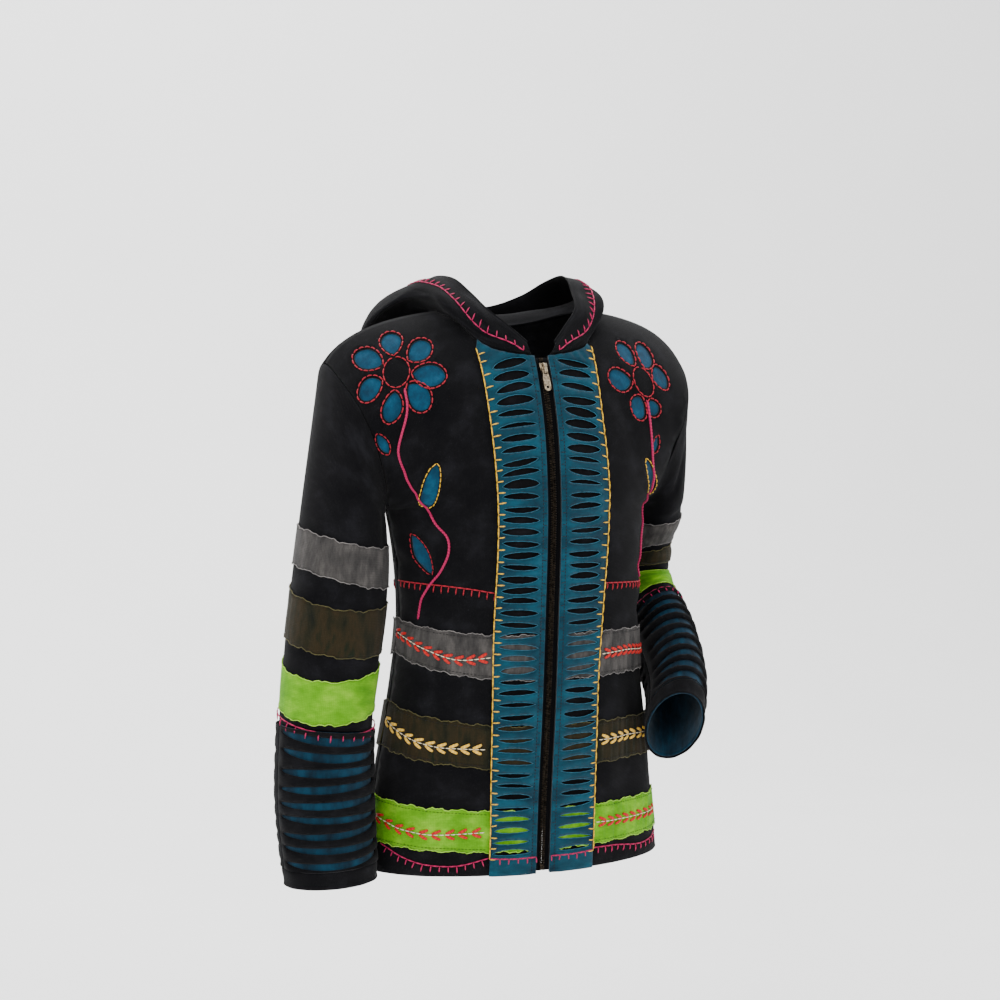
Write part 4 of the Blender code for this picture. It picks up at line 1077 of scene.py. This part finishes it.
def sleeve_tube(node, side, rows, lift, wall, cloth, edge=None):
    """A tube of cloth whose rows are lengths along the sleeve, each one even or given round it."""
    rows = rows + 0 * RING_ACROSS
    flat = np.stack([np.broadcast_to(RING_ACROSS, rows.shape), rows], axis=2).reshape(-1, 2)
    lay_cloth(node, "sleeve", side, flat, grid_faces(len(rows), ROUND, True), lift(flat), wall, cloth, edge)


for side, word in SIDE_NAMES.items():
    rows = 0.8 + down_to(84) * (CUFF_TOP - 1.5)
    sleeve_tube(f"sleeve_{word}", side, rows, lambda f: 0, WALL, "black")
    for k, (cloth, (low, high, base, inner, front)) in enumerate(SLEEVE_BANDS[side].items()):
        turn = 2 * math.pi * RING_ACROSS / GIRTH
        hang = base + inner * np.cos(turn) + front * np.sin(turn)
        bottom = low + hang + wavy(RING_ACROSS, k + side, RAW)
        top = high + hang + wavy(RING_ACROSS, k + side + 1.7, RAW)
        rows = bottom * (1 - down_to(11)) + top * down_to(11)
        gather = lambda f, s=k + side: ON_PANEL - 0.3 + pucker(f, s, 0.18)
        sleeve_tube(f"band_{cloth}_sleeve_{word}", side, rows, gather, PATCH, cloth, cloth)
        for row in (rows[0], rows[-1]):
            loop = np.column_stack([RING_ACROSS, row])
            FRAYS[cloth].append(("sleeve", side, np.vstack([loop, loop[:1] + (GIRTH, 0)]), ON_PANEL))
print("sleeve bands laid:", 2 * len(SLEEVE_BANDS[RIGHT]))

# %% [markdown]
# ## Slashed cloth
# Long cuts in a single layer of cotton open into lenses after a wash, and their raw lips curl. The
# cuts are holes on the cutting table. Each point then rises by its distance from the nearest lip, so
# the bars between the cuts puff up like cords.

# %% Slashed cuffs over blue tubes
CUFF_SLASHES, CUFF_PUFF, CUFF_BAR = 9, 2.6, 4.6


def slash(start, end, middle, half, lean, swell, points=22, sag=0.0):
    """A long cut that has opened into a lens, uneven in slope, height and sag."""
    steps = np.linspace(0, 1, points // 2 + 1)
    across = start + (end - start) * steps
    mid = middle + lean * (steps - 0.5) + sag * np.sin(math.pi * steps)
    open_by = half * np.sin(math.pi * steps) ** 0.55
    upper = np.column_stack([across, mid + open_by * swell[0]])
    lower = np.column_stack([across, mid - open_by * swell[1]])[1:-1]
    return np.vstack([upper, lower[::-1]])


def nearest(points, lips):
    return np.array([np.hypot(*(lips - p).T).min() for p in points])


def slashed_cuff(side, word):
    random = np.random.default_rng(11 + side)
    low, high = CUFF_TOP + 0.5, CUFF_HEM + 1
    pitch = (high - low) / CUFF_SLASHES
    for half, first in (("front", 0.0), ("back", GIRTH / 2)):
        last = first + GIRTH / 2 - 0.3
        corners = [(first, low), (last, low), (last, high), (first, high)]
        outline = [p for a, b in zip(corners, corners[1:] + corners[:1]) for p in fine_line(a, b, 5)]
        cuts = []
        for k in range(CUFF_SLASHES):
            middle = low + pitch * (k + 0.5)
            swell = random.uniform(0.8, 1.15, 2)
            start, end = first + random.uniform(13, 19), last - random.uniform(4, 9)
            sag = random.uniform(0.5, 5.0) * (1 if half == "front" else -0.6)
            cuts.append(slash(start, end, middle - sag / 2, 4.5, random.uniform(-6, 6), swell, 56, sag))
        flat, faces = cut_out(outline, cuts, 3.6)
        away = nearest(flat, np.vstack(cuts))
        zone = np.clip(np.minimum(flat[:, 0] - first, last - flat[:, 0]) / 14, 0, 1)
        puff = CUFF_PUFF * np.sqrt(np.clip(away / CUFF_BAR, 0, 1)) * zone
        name = f"cuff_slashed_{half}_{word}"
        lay_cloth(name, "sleeve", side, flat, faces, 1.2 + puff, PATCH, "black", "black")


for side, word in SIDE_NAMES.items():
    rows = CUFF_TOP + 0.5 + down_to(40) * (SLEEVE - CUFF_TOP - 1.5)
    ripple = lambda f: -0.3 + 0.25 * np.sin(f[:, 1] / 2.3 + np.sin(f[:, 0] / 19))
    sleeve_tube(f"cuff_under_{word}", side, rows, ripple, WALL, "deep")
    slashed_cuff(side, word)
    rows = CUFF_HEM + 1.5 + down_to(9) * (SLEEVE - CUFF_HEM - 1.5)
    roll = lambda f: 1.9 + 0.5 * np.sin((f[:, 1] - CUFF_HEM) * math.pi / 11) + 0.2 * np.sin(f[:, 0] / 4)
    sleeve_tube(f"cuff_hem_{word}", side, rows, roll, PATCH, "black")
print("cuffs laid: 2")

# %% [markdown]
# Beside the zip runs a teal strip with a column of slashes through which the black shows. Each slash is
# a real hole with its own lean and width, since a row cut by hand is never even.

# %% Slashed plackets
PLACKET_IN, PLACKET_OUT, ON_BAND = 8.0, 64.0, 3.4
SLASHES, SLASH_FIRST, SLASH_LAST = 43, 26.0, 565.0
SLASH_IN, SLASH_OUT, SLASH_LOW, SLASH_HIGH = 16.0, 60.0, 5.6, 9.0
PLACKET_PUFF, PLACKET_BAR = 1.5, 3.4
PLACKET_EDGE = {
    RIGHT: {"h": (0, 21, 150, 267, 405, 500, 592), "s": (62, 61.5, 63, 64.5, 62, 66.5, 71)},
    LEFT: {"h": (0, 21, 150, 207, 300, 425, 519, 592), "s": (62, 62, 61, 60, 64, 70, 65, 65)},
}


def placket_edge(side, h):
    return columns(PLACKET_EDGE[side], "h", "s", h)[:, 0]


SLASH_MIDDLES = np.linspace(SLASH_FIRST, SLASH_LAST, SLASHES)
LIPS = {}
for side, word in SIDE_NAMES.items():
    random = np.random.default_rng(5 + side)
    heights = np.linspace(0, 590, 150)
    outline = fine_line((PLACKET_IN, 0), (placket_edge(side, 0)[0], 0), 4)
    outline += list(zip(placket_edge(side, heights), heights))
    top = np.linspace(placket_edge(side, 592)[0], PLACKET_IN, 16)
    outline += list(zip(top, neck_height(top) - 0.6))[1:-1]
    outline += fine_line((PLACKET_IN, NECK_FRONT), (PLACKET_IN, 0), 5)
    cuts = LIPS[side] = []
    for k, middle in enumerate(SLASH_MIDDLES):
        share = k / (SLASHES - 1)
        half = (SLASH_LOW + (SLASH_HIGH - SLASH_LOW) * share) / 2
        swell = random.uniform(0.6, 1.3, 2)
        half = half * random.uniform(0.85, 1.12)
        start, end = SLASH_IN + random.uniform(-1, 1.5), SLASH_OUT + random.uniform(-3, 0.5)
        lean, sag = random.uniform(-2.8, 2.8), random.uniform(-1.5, 1.2)
        cuts.append(slash(start, end, middle, half, lean, swell, 24, sag))
    flat, faces = cut_out(outline, cuts, 2.6)
    away = nearest(flat, np.vstack(cuts))
    zone = np.clip((flat[:, 0] - 13) / 5, 0, 1) * np.clip((63 - flat[:, 0]) / 6, 0, 1)
    puff = PLACKET_PUFF * np.sqrt(np.clip(away / PLACKET_BAR, 0, 1)) * zone
    gather = 0.5 * np.sin(flat[:, 0] / 1.9 + flat[:, 1] / 3.1) * np.clip((flat[:, 1] - 556) / 10, 0, 1)
    rise = ON_BAND - 0.6 + puff + gather
    lay_cloth(f"placket_{word}", "front", side, flat, faces, rise, PATCH, "teal", "teal")
    print("placket", word, len(faces), "triangles")

# %% [markdown]
# ## The hood
# The hood is two shaped halves with one seam over the head. Off the head it lies back in a soft roll
# with a hanging pouch. Its surface is a set of sections round the neck, and the sag of loose cloth is
# added as slow waves.

# %% Hood
HOOD_ROUND, HOOD_DEEP = 90, 60
HOOD_LENGTH, HOOD_HEIGHT, HOOD_SEAM = 330.0, 330.0, 0.4


def hood_sag(flat):
    """Slow folds of loose cloth, deepest half way up the hood, and still at the seam and the edge."""
    around, up = flat[:, 0], flat[:, 1]
    middle = np.sin(math.pi * np.clip(up, 0, 1)) * np.clip(around * 4, 0, 1) * np.clip((1 - around) * 6, 0, 1)
    folds = 2.6 * np.sin(around * 15 + up * 5) + 1.8 * np.sin(around * 27 - up * 9 + 1.2)
    return middle * folds


# The lowest rows tuck down into the neck seam, by this many millimetres over this share of the height
NECK_TUCK, TUCK_SHARE = 3.5, 0.05
share, up = np.linspace(0, 1, HOOD_ROUND), np.linspace(0, 1, HOOD_DEEP)
flat = np.array([(a, b) for b in up for a in share])
for side, word in SIDE_NAMES.items():
    table = flat * (HOOD_LENGTH, HOOD_HEIGHT)
    rim = 0.9 * np.exp(-(((1 - flat[:, 1]) / 0.02) ** 2))
    faces = grid_faces(HOOD_DEEP, HOOD_ROUND)
    lift = hood_sag(flat) + rim
    piece = lay_cloth(f"hood_{word}", "hood", side, flat, faces, lift, WALL, "black", uv=table)
    piece.location.x = side * HOOD_SEAM * MM
    tuck = NECK_TUCK * np.clip(1 - flat[:, 1] / TUCK_SHARE, 0, 1)
    for vertex, down in zip(piece.data.vertices, tuck):
        vertex.co.z -= down * MM
print("hood laid:", len(flat), "points a half")

# %% [markdown]
# ## Embroidery
# Every stitch is a short length of thick thread that leaves the cloth, lies on it and goes back in. So
# each one is its own small tube, bowed up in the middle and sunk at both ends. A texture of stitches
# would be lighter, but it would have no height or shadow.

# %% Making stitches
SIDES_OF_THREAD = 6


class Needle:
    """Collects stitches of one colour and turns them into one piece."""

    def __init__(self, name, colour):
        self.name = name
        self.colour = colour
        self.places, self.faces, self.flat = [], [], []

    def run(self, key, side, path, lift, radius, bow=0.0, flatness=1.0, taper=0.35):
        """A length of thread along flat places. Bow raises its middle, taper is its end's thickness."""
        path = np.asarray(path, float)
        count = len(path)
        share = np.linspace(0, 1, count)
        arch = np.sin(math.pi * share)
        middle = on_cloth(key, side, path, lift + bow * arch - radius * 0.5 * (1 - arch) * (bow > 0))
        normal = on_cloth(key, side, path, lift + 2.0) - on_cloth(key, side, path, lift)
        normal /= np.maximum(np.linalg.norm(normal, axis=1, keepdims=True), 1e-9)
        way = np.gradient(middle, axis=0)
        way /= np.maximum(np.linalg.norm(way, axis=1, keepdims=True), 1e-9)
        beside = np.cross(way, normal)
        beside /= np.maximum(np.linalg.norm(beside, axis=1, keepdims=True), 1e-9)
        thick = radius * (taper + (1 - taper) * arch**0.5) if taper < 1 else np.full(count, radius)
        length = np.concatenate([[0], np.cumsum(np.linalg.norm(np.diff(middle, axis=0), axis=1))])
        first = len(self.places)
        for k in range(count):
            for turn in range(SIDES_OF_THREAD):
                angle = 2 * math.pi * turn / SIDES_OF_THREAD
                out = beside[k] * math.cos(angle) + normal[k] * math.sin(angle) * flatness
                self.places.append(middle[k] + out * thick[k])
                self.flat.append((length[k], 2 * radius * abs(math.cos(angle / 2))))
        faces = grid_faces(count, SIDES_OF_THREAD, True)
        last = (count - 1) * SIDES_OF_THREAD
        faces += [tuple(range(SIDES_OF_THREAD))[::-1], tuple(last + t for t in range(SIDES_OF_THREAD))]
        self.faces += [tuple(first + v for v in face) for face in faces]

    def stitch(self, key, side, start, end, lift, radius, bow=0.35, rings=5, **more):
        self.run(key, side, np.linspace(start, end, rings), lift, radius, bow, **more)

    def finish(self, slot="black_cotton"):
        piece = make_mesh(self.name, self.places, self.faces, self.flat, [THREAD[self.colour]])
        print(self.name, len(self.faces), "faces")
        return piece


def even_path(points, step, closed=False):
    """Places along a smooth line through a few points, an even step apart."""
    points = np.asarray(points, float)
    if closed:
        points = np.vstack([points, points[:1]])
    reach = np.concatenate([[0], np.cumsum(np.linalg.norm(np.diff(points, axis=0), axis=1))])
    many = smooth(reach, points, np.linspace(0, reach[-1], 400)) if not closed and len(points) > 2 else points
    reach = np.concatenate([[0], np.cumsum(np.linalg.norm(np.diff(many, axis=0), axis=1))])
    count = max(2, round(reach[-1] / step) + 1)
    at = np.linspace(0, reach[-1], count)
    return np.column_stack([np.interp(at, reach, many[:, k]) for k in range(2)])


def blanket(needle, key, side, points, pitch, prong, lift, radius, seed=1):
    """Blanket stitch: a line of thread along an edge, with a prong at every step to one side."""
    random = np.random.default_rng(seed)
    path = even_path(points, pitch)
    for start, end in zip(path, path[1:]):
        way = (end - start) / max(math.dist(start, end), 1e-6)
        aside = np.array([-way[1], way[0]]) * prong * random.uniform(0.82, 1.15)
        aside = aside + way * random.uniform(-0.12, 0.12) * abs(prong)
        needle.stitch(key, side, start, end + way * 0.6, lift, radius, 0.3)
        needle.stitch(key, side, start, start + aside, lift, radius * 0.9, 0.3)


def back_stitch(needle, key, side, path, long, gap, lift, radius, closed=False):
    """A line of separate stitches with a small gap between them."""
    path = even_path(path, 1.0, closed)
    reach = np.arange(len(path)) * 1.0
    at = 0.0
    while at + long * 0.6 < reach[-1]:
        spots = np.linspace(at, min(at + long, reach[-1]), 5)
        places = np.column_stack([np.interp(spots, reach, path[:, k]) for k in range(2)])
        needle.run(key, side, places, lift, radius, 0.35)
        at += long + gap


def stem_stitch(needle, key, side, points, lift, radius):
    """Rope-like stem stitch: slanted stitches that overlap along a line."""
    path = even_path(points, 3.4)
    for k in range(len(path) - 2):
        way = path[k + 2] - path[k]
        aside = np.array([-way[1], way[0]]) / max(np.linalg.norm(way), 1e-6) * radius * 0.55
        needle.stitch(key, side, path[k] - aside, path[k + 2] + aside, lift, radius, 0.5)


print("needle ready")

# %% [markdown]
# A line of stitches runs round every window and holds the two layers together. Each stitch is a short
# rounded thread with a small gap to the next one, which a drawn dashed line would not show in side
# light.

# %% Outlines of the flowers and leaves
STITCH, STITCH_THIN, STEM, ON_FRONT = 0.8, 0.6, 1.25, 0.5


def offset(outline, by):
    """An outline moved outwards, all round."""
    outline = np.asarray(outline, float)
    way = np.roll(outline, -1, 0) - np.roll(outline, 1, 0)
    out = np.column_stack([way[:, 1], -way[:, 0]])
    out /= np.maximum(np.linalg.norm(out, axis=1, keepdims=True), 1e-6)
    if ((outline - outline.mean(0)) * out).sum() < 0:
        out = -out
    return outline + out * by


for side, word in SIDE_NAMES.items():
    red = Needle(f"stitches_red_flower_{word}", "red")
    centre = np.array(FLOWERS[side]["centre"], float)
    for petal in petals(side):
        back_stitch(red, "front", side, offset(petal, 2.2), 6.2, 0.9, ON_FRONT, STITCH, closed=True)
    turns = np.linspace(0, 2 * math.pi, 41)[:-1]
    ring = centre + RING * np.column_stack([np.sin(turns), np.cos(turns)])
    back_stitch(red, "front", side, ring, 6.5, 0.5, 0.6, STITCH, closed=True)
    for name, leaf in LEAVES[side].items():
        if name.startswith("red"):
            outline = offset(leaf_outline(*leaf), 1.8)
            back_stitch(red, "front", side, outline, 5.5, 0.9, ON_FRONT, STITCH_THIN, closed=True)
    red.finish()
    yellow = Needle(f"stitches_yellow_leaf_{word}", "yellow")
    outline = offset(leaf_outline(*LEAVES[side]["yellow"]), 1.6)
    back_stitch(yellow, "front", side, outline, 6.0, 0.9, ON_FRONT, STITCH_THIN, closed=True)
    yellow.finish()

# %% [markdown]
# The stems are pink. Blanket stitches cross the waist in red and the hem in pink: a thread along the
# line, with a prong at every step. They are laid thread by thread, with small slips, as a hand leaves
# them.

# %% Stems, waist and hem stitches
STEMS = {
    RIGHT: (
        (158, 576), (158, 555), (167, 531), (172, 519), (166, 483), (151, 438), (131, 393), (117, 378),
        (115.5, 366), (123, 345), (139, 324), (147, 309), (154, 285),
    ),
    LEFT: (
        (137, 552), (143, 525), (150, 500), (160, 466), (169, 430), (170, 390), (153, 372), (152, 350),
        (156, 321),
    ),
}
WAIST = {
    RIGHT: ((64, 318), (103, 324), (155, 327), (192, 327)),
    LEFT: ((64, 324), (110, 321), (150, 318), (190, 318)),
}
# Pitch, length of the prongs, height over the cloth and half the thickness of the thread
WAIST_STITCH, HEM_STITCH = (8.5, -7.5, 0.6, STITCH), (9.5, -7.5, 0.6, STITCH)
HEM = {RIGHT: ((61, 21), (99, 12), (141, 15), (188, 32)), LEFT: ((61, 22), (92, 21), (141, 15), (188, 20))}
for side, word in SIDE_NAMES.items():
    pink = Needle(f"stitches_pink_stem_{word}", "pink")
    stem_stitch(pink, "front", side, STEMS[side], ON_FRONT, STEM)
    blanket(pink, "front", side, HEM[side], *HEM_STITCH, seed=8 + side)
    blanket(pink, "front", side, ((9, 20), (36, 19.5), (61, 21)), 9.5, -6.5, 4.4, STITCH, seed=18 + side)
    pink.finish()
    red = Needle(f"stitches_red_waist_{word}", "red")
    blanket(red, "front", side, WAIST[side], *WAIST_STITCH, seed=5 + side)
    red.finish()
pink = Needle("stitches_pink_back", "pink")
blanket(pink, "back", LEFT, ((-188, 22), (-90, 15), (0, 13), (96, 16), (188, 21)), *HEM_STITCH)
pink.finish()
red = Needle("stitches_red_back", "red")
blanket(red, "back", LEFT, ((-176, 322), (-80, 327), (0, 328), (84, 326), (176, 321)), *WAIST_STITCH)
red.finish()

# %% [markdown]
# Yellow stitches hold the plackets, and pink ones edge the hood and the cuffs. Dark machine lines run
# between the slashes, and a thin rolled lip goes round each slash, as the raw edge of a washed cotton
# does.

# %% Plackets, hood and cuffs
BETWEEN = (SLASH_MIDDLES[:-1] + SLASH_MIDDLES[1:]) / 2
INK, INK_LONG, LIP = 0.5, 0.62, 0.36
for side, word in SIDE_NAMES.items():
    yellow = Needle(f"stitches_yellow_placket_{word}", "yellow")
    random = np.random.default_rng(21 + side)
    heights = np.concatenate([[20.0], BETWEEN, [573.0, 582.0, 590.0]])
    edge = placket_edge(side, heights) + 0.3
    for k in range(len(heights) - 1):
        start, end = (edge[k], heights[k]), (edge[k + 1], heights[k + 1] + 0.5)
        yellow.stitch("front", side, start, end, 3.6, STITCH, 0.3)
        prong = (edge[k] - random.uniform(7.0, 9.5), heights[k] + random.uniform(-1.0, 1.4))
        yellow.stitch("front", side, start, prong, 4.2, STITCH * 0.9, 0.4)
    yellow.finish("teal_cotton")
    ink = Needle(f"stitches_ink_placket_{word}", "ink")
    for low in np.arange(3, 566, 3.6):
        ink.stitch("front", side, (13.4, low), (13.4, low + 3.0), 3.0, INK_LONG, 0.2, 3)
    for middle in BETWEEN:
        ink.stitch("front", side, (8.6, middle), (12.6, middle + 0.4), 3.0, INK, 0.15, 3)
        ink.stitch("front", side, (14.0, middle), (17.6, middle), 3.1, INK, 0.15, 3)
    ink.finish("teal_cotton")
    # The raw lip of each slash shows as a thin pale line of loose threads
    lip = Needle(f"slash_lips_{word}", "ink")
    for k, cut in enumerate(LIPS[side]):
        ragged = cut + np.column_stack([0 * cut[:, 0], wavy(cut[:, 0] * 3, k, 0.15)])
        lip.run("front", side, np.vstack([ragged, ragged[:1]]), 3.05, LIP, taper=1.0)
    piece = lip.finish("teal_cotton")
    piece.data.materials[0] = EDGES["teal"]


HOOD_GAP, HOOD_PRONG, HOOD_PITCH, HOOD_WIDE = 26.0, 8.0, 11.0, 44.0


def hood_stitch_line(gap):
    """Places of the hood that lie a gap in from its edge, or less where the hood is narrow."""
    up = np.linspace(0, 1, 121)
    line = []
    for a in np.linspace(0.02, 1.0, 60):
        places = HOOD_HALF.at(np.full(len(up), a), up)
        left = np.concatenate([[0], np.cumsum(np.linalg.norm(np.diff(places[::-1], axis=0), axis=1))])
        line.append((a, float(np.interp(min(gap, left[-1] * gap / HOOD_WIDE), left, up[::-1]))))
    return np.array(line)


far_line, near_line = hood_stitch_line(HOOD_GAP), hood_stitch_line(HOOD_GAP - HOOD_PRONG)
lengths = np.linalg.norm(np.diff(HOOD_HALF.at(far_line[:, 0], far_line[:, 1]), axis=0), axis=1)
reach = np.concatenate([[0], np.cumsum(lengths)])
spots = np.arange(4, reach[-1], HOOD_PITCH)


def at_spots(line):
    return np.column_stack([np.interp(spots, reach, line[:, k]) for k in range(2)])


feet, heads = at_spots(far_line), at_spots(near_line)
for side, word in SIDE_NAMES.items():
    pink = Needle(f"stitches_pink_hood_{word}", "pink")
    for k in range(len(spots) - 1):
        along = np.linspace(feet[k], feet[k + 1], 5)
        pink.run("hood", side, along, hood_sag(along) + 0.8, STITCH)
        prong = np.linspace(feet[k], heads[k], 4)
        pink.run("hood", side, prong, hood_sag(prong) + 0.9, STITCH * 0.9)
    pink.finish()
    pink = Needle(f"stitches_pink_cuff_{word}", "pink")
    ring = np.linspace(0, GIRTH, 61)
    sag = 11.0 if side == RIGHT else 3.0
    line = np.column_stack([ring, CUFF_TOP - 2 + sag * (np.sin(2 * math.pi * ring / GIRTH) - 0.6)])
    blanket(pink, "sleeve", side, line, 12.0, 8.5, 2.5, STITCH, seed=14 + side)
    pink.finish()

# %% [markdown]
# ## Vines
# A vine is a line of running stitch with pairs of lazy-daisy leaves. One leaf is two or three fat
# strands side by side, so each is a flattened tube that tapers to both ends.

# %% Vines on the bands
VINES = {
    ("grey", RIGHT): (((67, 246), (104, 243), (138, 252), (178, 265), (192, 268)), "leaf", 10),
    ("olive", RIGHT): (((70, 144), (129, 146), (172, 158), (196, 168)), "cream", 10),
    ("lime", RIGHT): (((68, 51), (130, 48), (176, 55), (196, 62)), "leaf", 9),
    ("grey", LEFT): (((66, 243), (110, 243), (150, 238), (180, 236)), "leaf", 11),
    ("olive", LEFT): (((66, 146), (110, 145), (150, 142), (178, 139)), "cream", 9),
    ("lime", LEFT): (((66, 52), (120, 50), (176, 49)), "leaf", 9),
}
LEAF_LONG, LEAF_OPEN, LEAF_STRAND, VINE_START, ON_STRIP = 10.5, math.radians(24), 1.15, 3.0, 2.2


def vine(line, leaves, key, side, points, pairs, lift):
    """A running line with pairs of leaves whose tips point back towards its start."""
    path = even_path(points, 1.0)
    back_stitch(line, key, side, points, 5.5, 0.8, lift, STITCH_THIN)
    spacing = (len(path) - 1 - VINE_START - LEAF_LONG) / (pairs - 1)
    for k in range(pairs):
        at = min(int(VINE_START + LEAF_LONG + spacing * k), len(path) - 2)
        way = path[max(at - 1, 0)] - path[at + 1]
        heading = math.atan2(way[1], way[0])
        for turn in (-LEAF_OPEN, LEAF_OPEN):
            toward = np.array([math.cos(heading + turn), math.sin(heading + turn)])
            beside = np.array([-toward[1], toward[0]])
            root = path[at] + beside * math.copysign(1.1, turn)
            for strand in (-0.8, 0.8):
                start = root + beside * strand * 0.6
                tip = root + beside * strand * 0.7 + toward * LEAF_LONG
                thick = {"flatness": 0.7, "taper": 0.45}
                leaves.stitch(key, side, start, tip, lift + 0.25, LEAF_STRAND, 0.55, 7, **thick)


for side, word in SIDE_NAMES.items():
    line = Needle(f"vine_lines_{word}", "white")
    scarlet = Needle(f"vine_leaves_scarlet_{word}", "leaf")
    cream = Needle(f"vine_leaves_cream_{word}", "cream")
    for (_, which), (points, colour, pairs) in VINES.items():
        if which == side:
            vine(line, scarlet if colour == "leaf" else cream, "front", side, points, pairs, ON_STRIP)
    line.finish("grey_cotton")
    scarlet.finish("grey_cotton")
    cream.finish("olive_cotton")

# %% [markdown]
# ## Frays and seam marks
# Torn cotton lets a few pale threads go along each edge, and machine stitches hold the strips a little
# inside it.

# %% Frayed threads and machine lines
FRAY_POINTS, FRAY, MACHINE, MACHINE_STEP = 120, 0.42, 0.36, 4.0
for cloth, edges in FRAYS.items():
    fray = Needle(f"frayed_threads_{cloth}", "white")
    for k, (key, side, edge, lift) in enumerate(edges):
        path = np.array(edge)[:: max(1, len(edge) // FRAY_POINTS)]
        path = path + np.column_stack([0 * path[:, 0], wavy(path[:, 0] * 2.3, k, 0.35)])
        fray.run(key, side, path, lift - 0.1 + wavy(path[:, 0], k + 3, 0.2), FRAY, taper=1.0)
    piece = fray.finish(f"{cloth}_cotton")
    piece.data.materials[0] = EDGES[cloth]
machine = Needle("machine_stitches", "black")
for side in SIDE_NAMES:
    for band in BODY_BANDS.values():
        wide = float(FRONT.width_at((band["low"] + band["high"]) / 2))
        for start in np.arange(66, wide - 4, MACHINE_STEP):
            low, high = band_edges(band, side, start / wide)
            for level in (low + 3.5, high - 3.5):
                machine.stitch("front", side, (start, level), (start + 3, level), 1.8, MACHINE, 0.15, 3)
    for s in np.linspace(20, 88, 20):
        top = neck_height(s)[0]
        machine.stitch("front", side, (s, top - 4), (s + 1.6, top - 0.5), 0.5, 0.45, 0.2, 3)
machine.finish()

# %% [markdown]
# ## The zip
# A moulded or stamped tooth is a small block that grips the tape, and the two rows mesh at half a step.
# The teeth are one mesh of small bevelled blocks. An array modifier would need instances along a curve.

# %% Zip tape and teeth
TOOTH_PITCH, TOOTH_LONG, TOOTH_WIDE, TOOTH_THICK = 2.6, 1.5, 3.3, 2.0
ZIP_LOW, ZIP_HIGH = 10.0, 548.0


def block(places, faces, middle, half, turn_in):
    """Adds a small block with chamfered top edges, laid on the zip."""
    first = len(places)
    outline = ((-1, -1), (1, -1), (1, 1), (-1, 1))
    for level, shrink in ((-1, 1.0), (0.35, 1.0), (1, 0.62)):
        for a, b in outline:
            spot = (middle[0] + a * half[0] * shrink, middle[1] + b * half[1] * shrink)
            places.append(on_cloth("front", LEFT, [spot], turn_in + level * half[2])[0])
    for level in (0, 4):
        for k in range(4):
            n = (k + 1) % 4
            faces.append((first + level + k, first + level + n, first + level + 4 + n, first + level + 4 + k))
    faces.append((first + 8, first + 9, first + 10, first + 11))
    faces.append((first + 3, first + 2, first + 1, first))


places, faces = [], []
for k, h in enumerate(np.arange(ZIP_LOW, ZIP_HIGH, TOOTH_PITCH / 2)):
    side = 1 if k % 2 else -1
    block(places, faces, (side * 1.5, h), (TOOTH_WIDE / 2, TOOTH_LONG / 2, TOOTH_THICK / 2), -1.0)
teeth = make_mesh("zip_teeth", places, faces, np.array(places)[:, [0, 2]], [BRASS_TEETH])
teeth.data.shade_flat()
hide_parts("zip_chain")
print("teeth:", len(faces) // 10)

for side, word in SIDE_NAMES.items():
    rows = np.linspace(2, NECK_FRONT - 1, 110)
    across = np.linspace(0.6, 15, 7)
    flat = np.array([(s, h) for h in rows for s in across])
    cord = 0.5 * np.exp(-(((flat[:, 0] - 2.2) / 1.1) ** 2))
    places = on_cloth("front", side, flat, -1.6 + cord)
    faces = grid_faces(len(rows), len(across))
    faces = faces if side == LEFT else [f[::-1] for f in faces]
    tape = make_mesh(f"zip_tape_cloth_{word}", places, faces, flat, [TAPE])
    solid = tape.modifiers.new("tape thickness", "SOLIDIFY")
    solid.thickness = 0.6 * MM
    solid.offset = -1
    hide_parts(f"zip_tape_{word}")
print("tapes laid: 2")

# %% [markdown]
# The slider, its pull and the stops are small cast and pressed parts whose rigid shapes are right, so
# they keep them and only take the metal.

# %% Metal for the slider, pull, stops and box
for node in ("zip_slider", "zip_pull", "zip_stop_left", "zip_stop_right", "zip_box"):
    finish = BRASS_SLIDER if node in ("zip_slider", "zip_pull") else BRASS_TEETH
    for slot in bpy.data.objects[node].material_slots:
        slot.material = finish
print("metal parts: 5")

# %% [markdown]
# The size of the dressed part is printed.

# %% Sizes and finish
low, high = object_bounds()
print("visual box", [round(v, 4) for v in (*low, *high)])
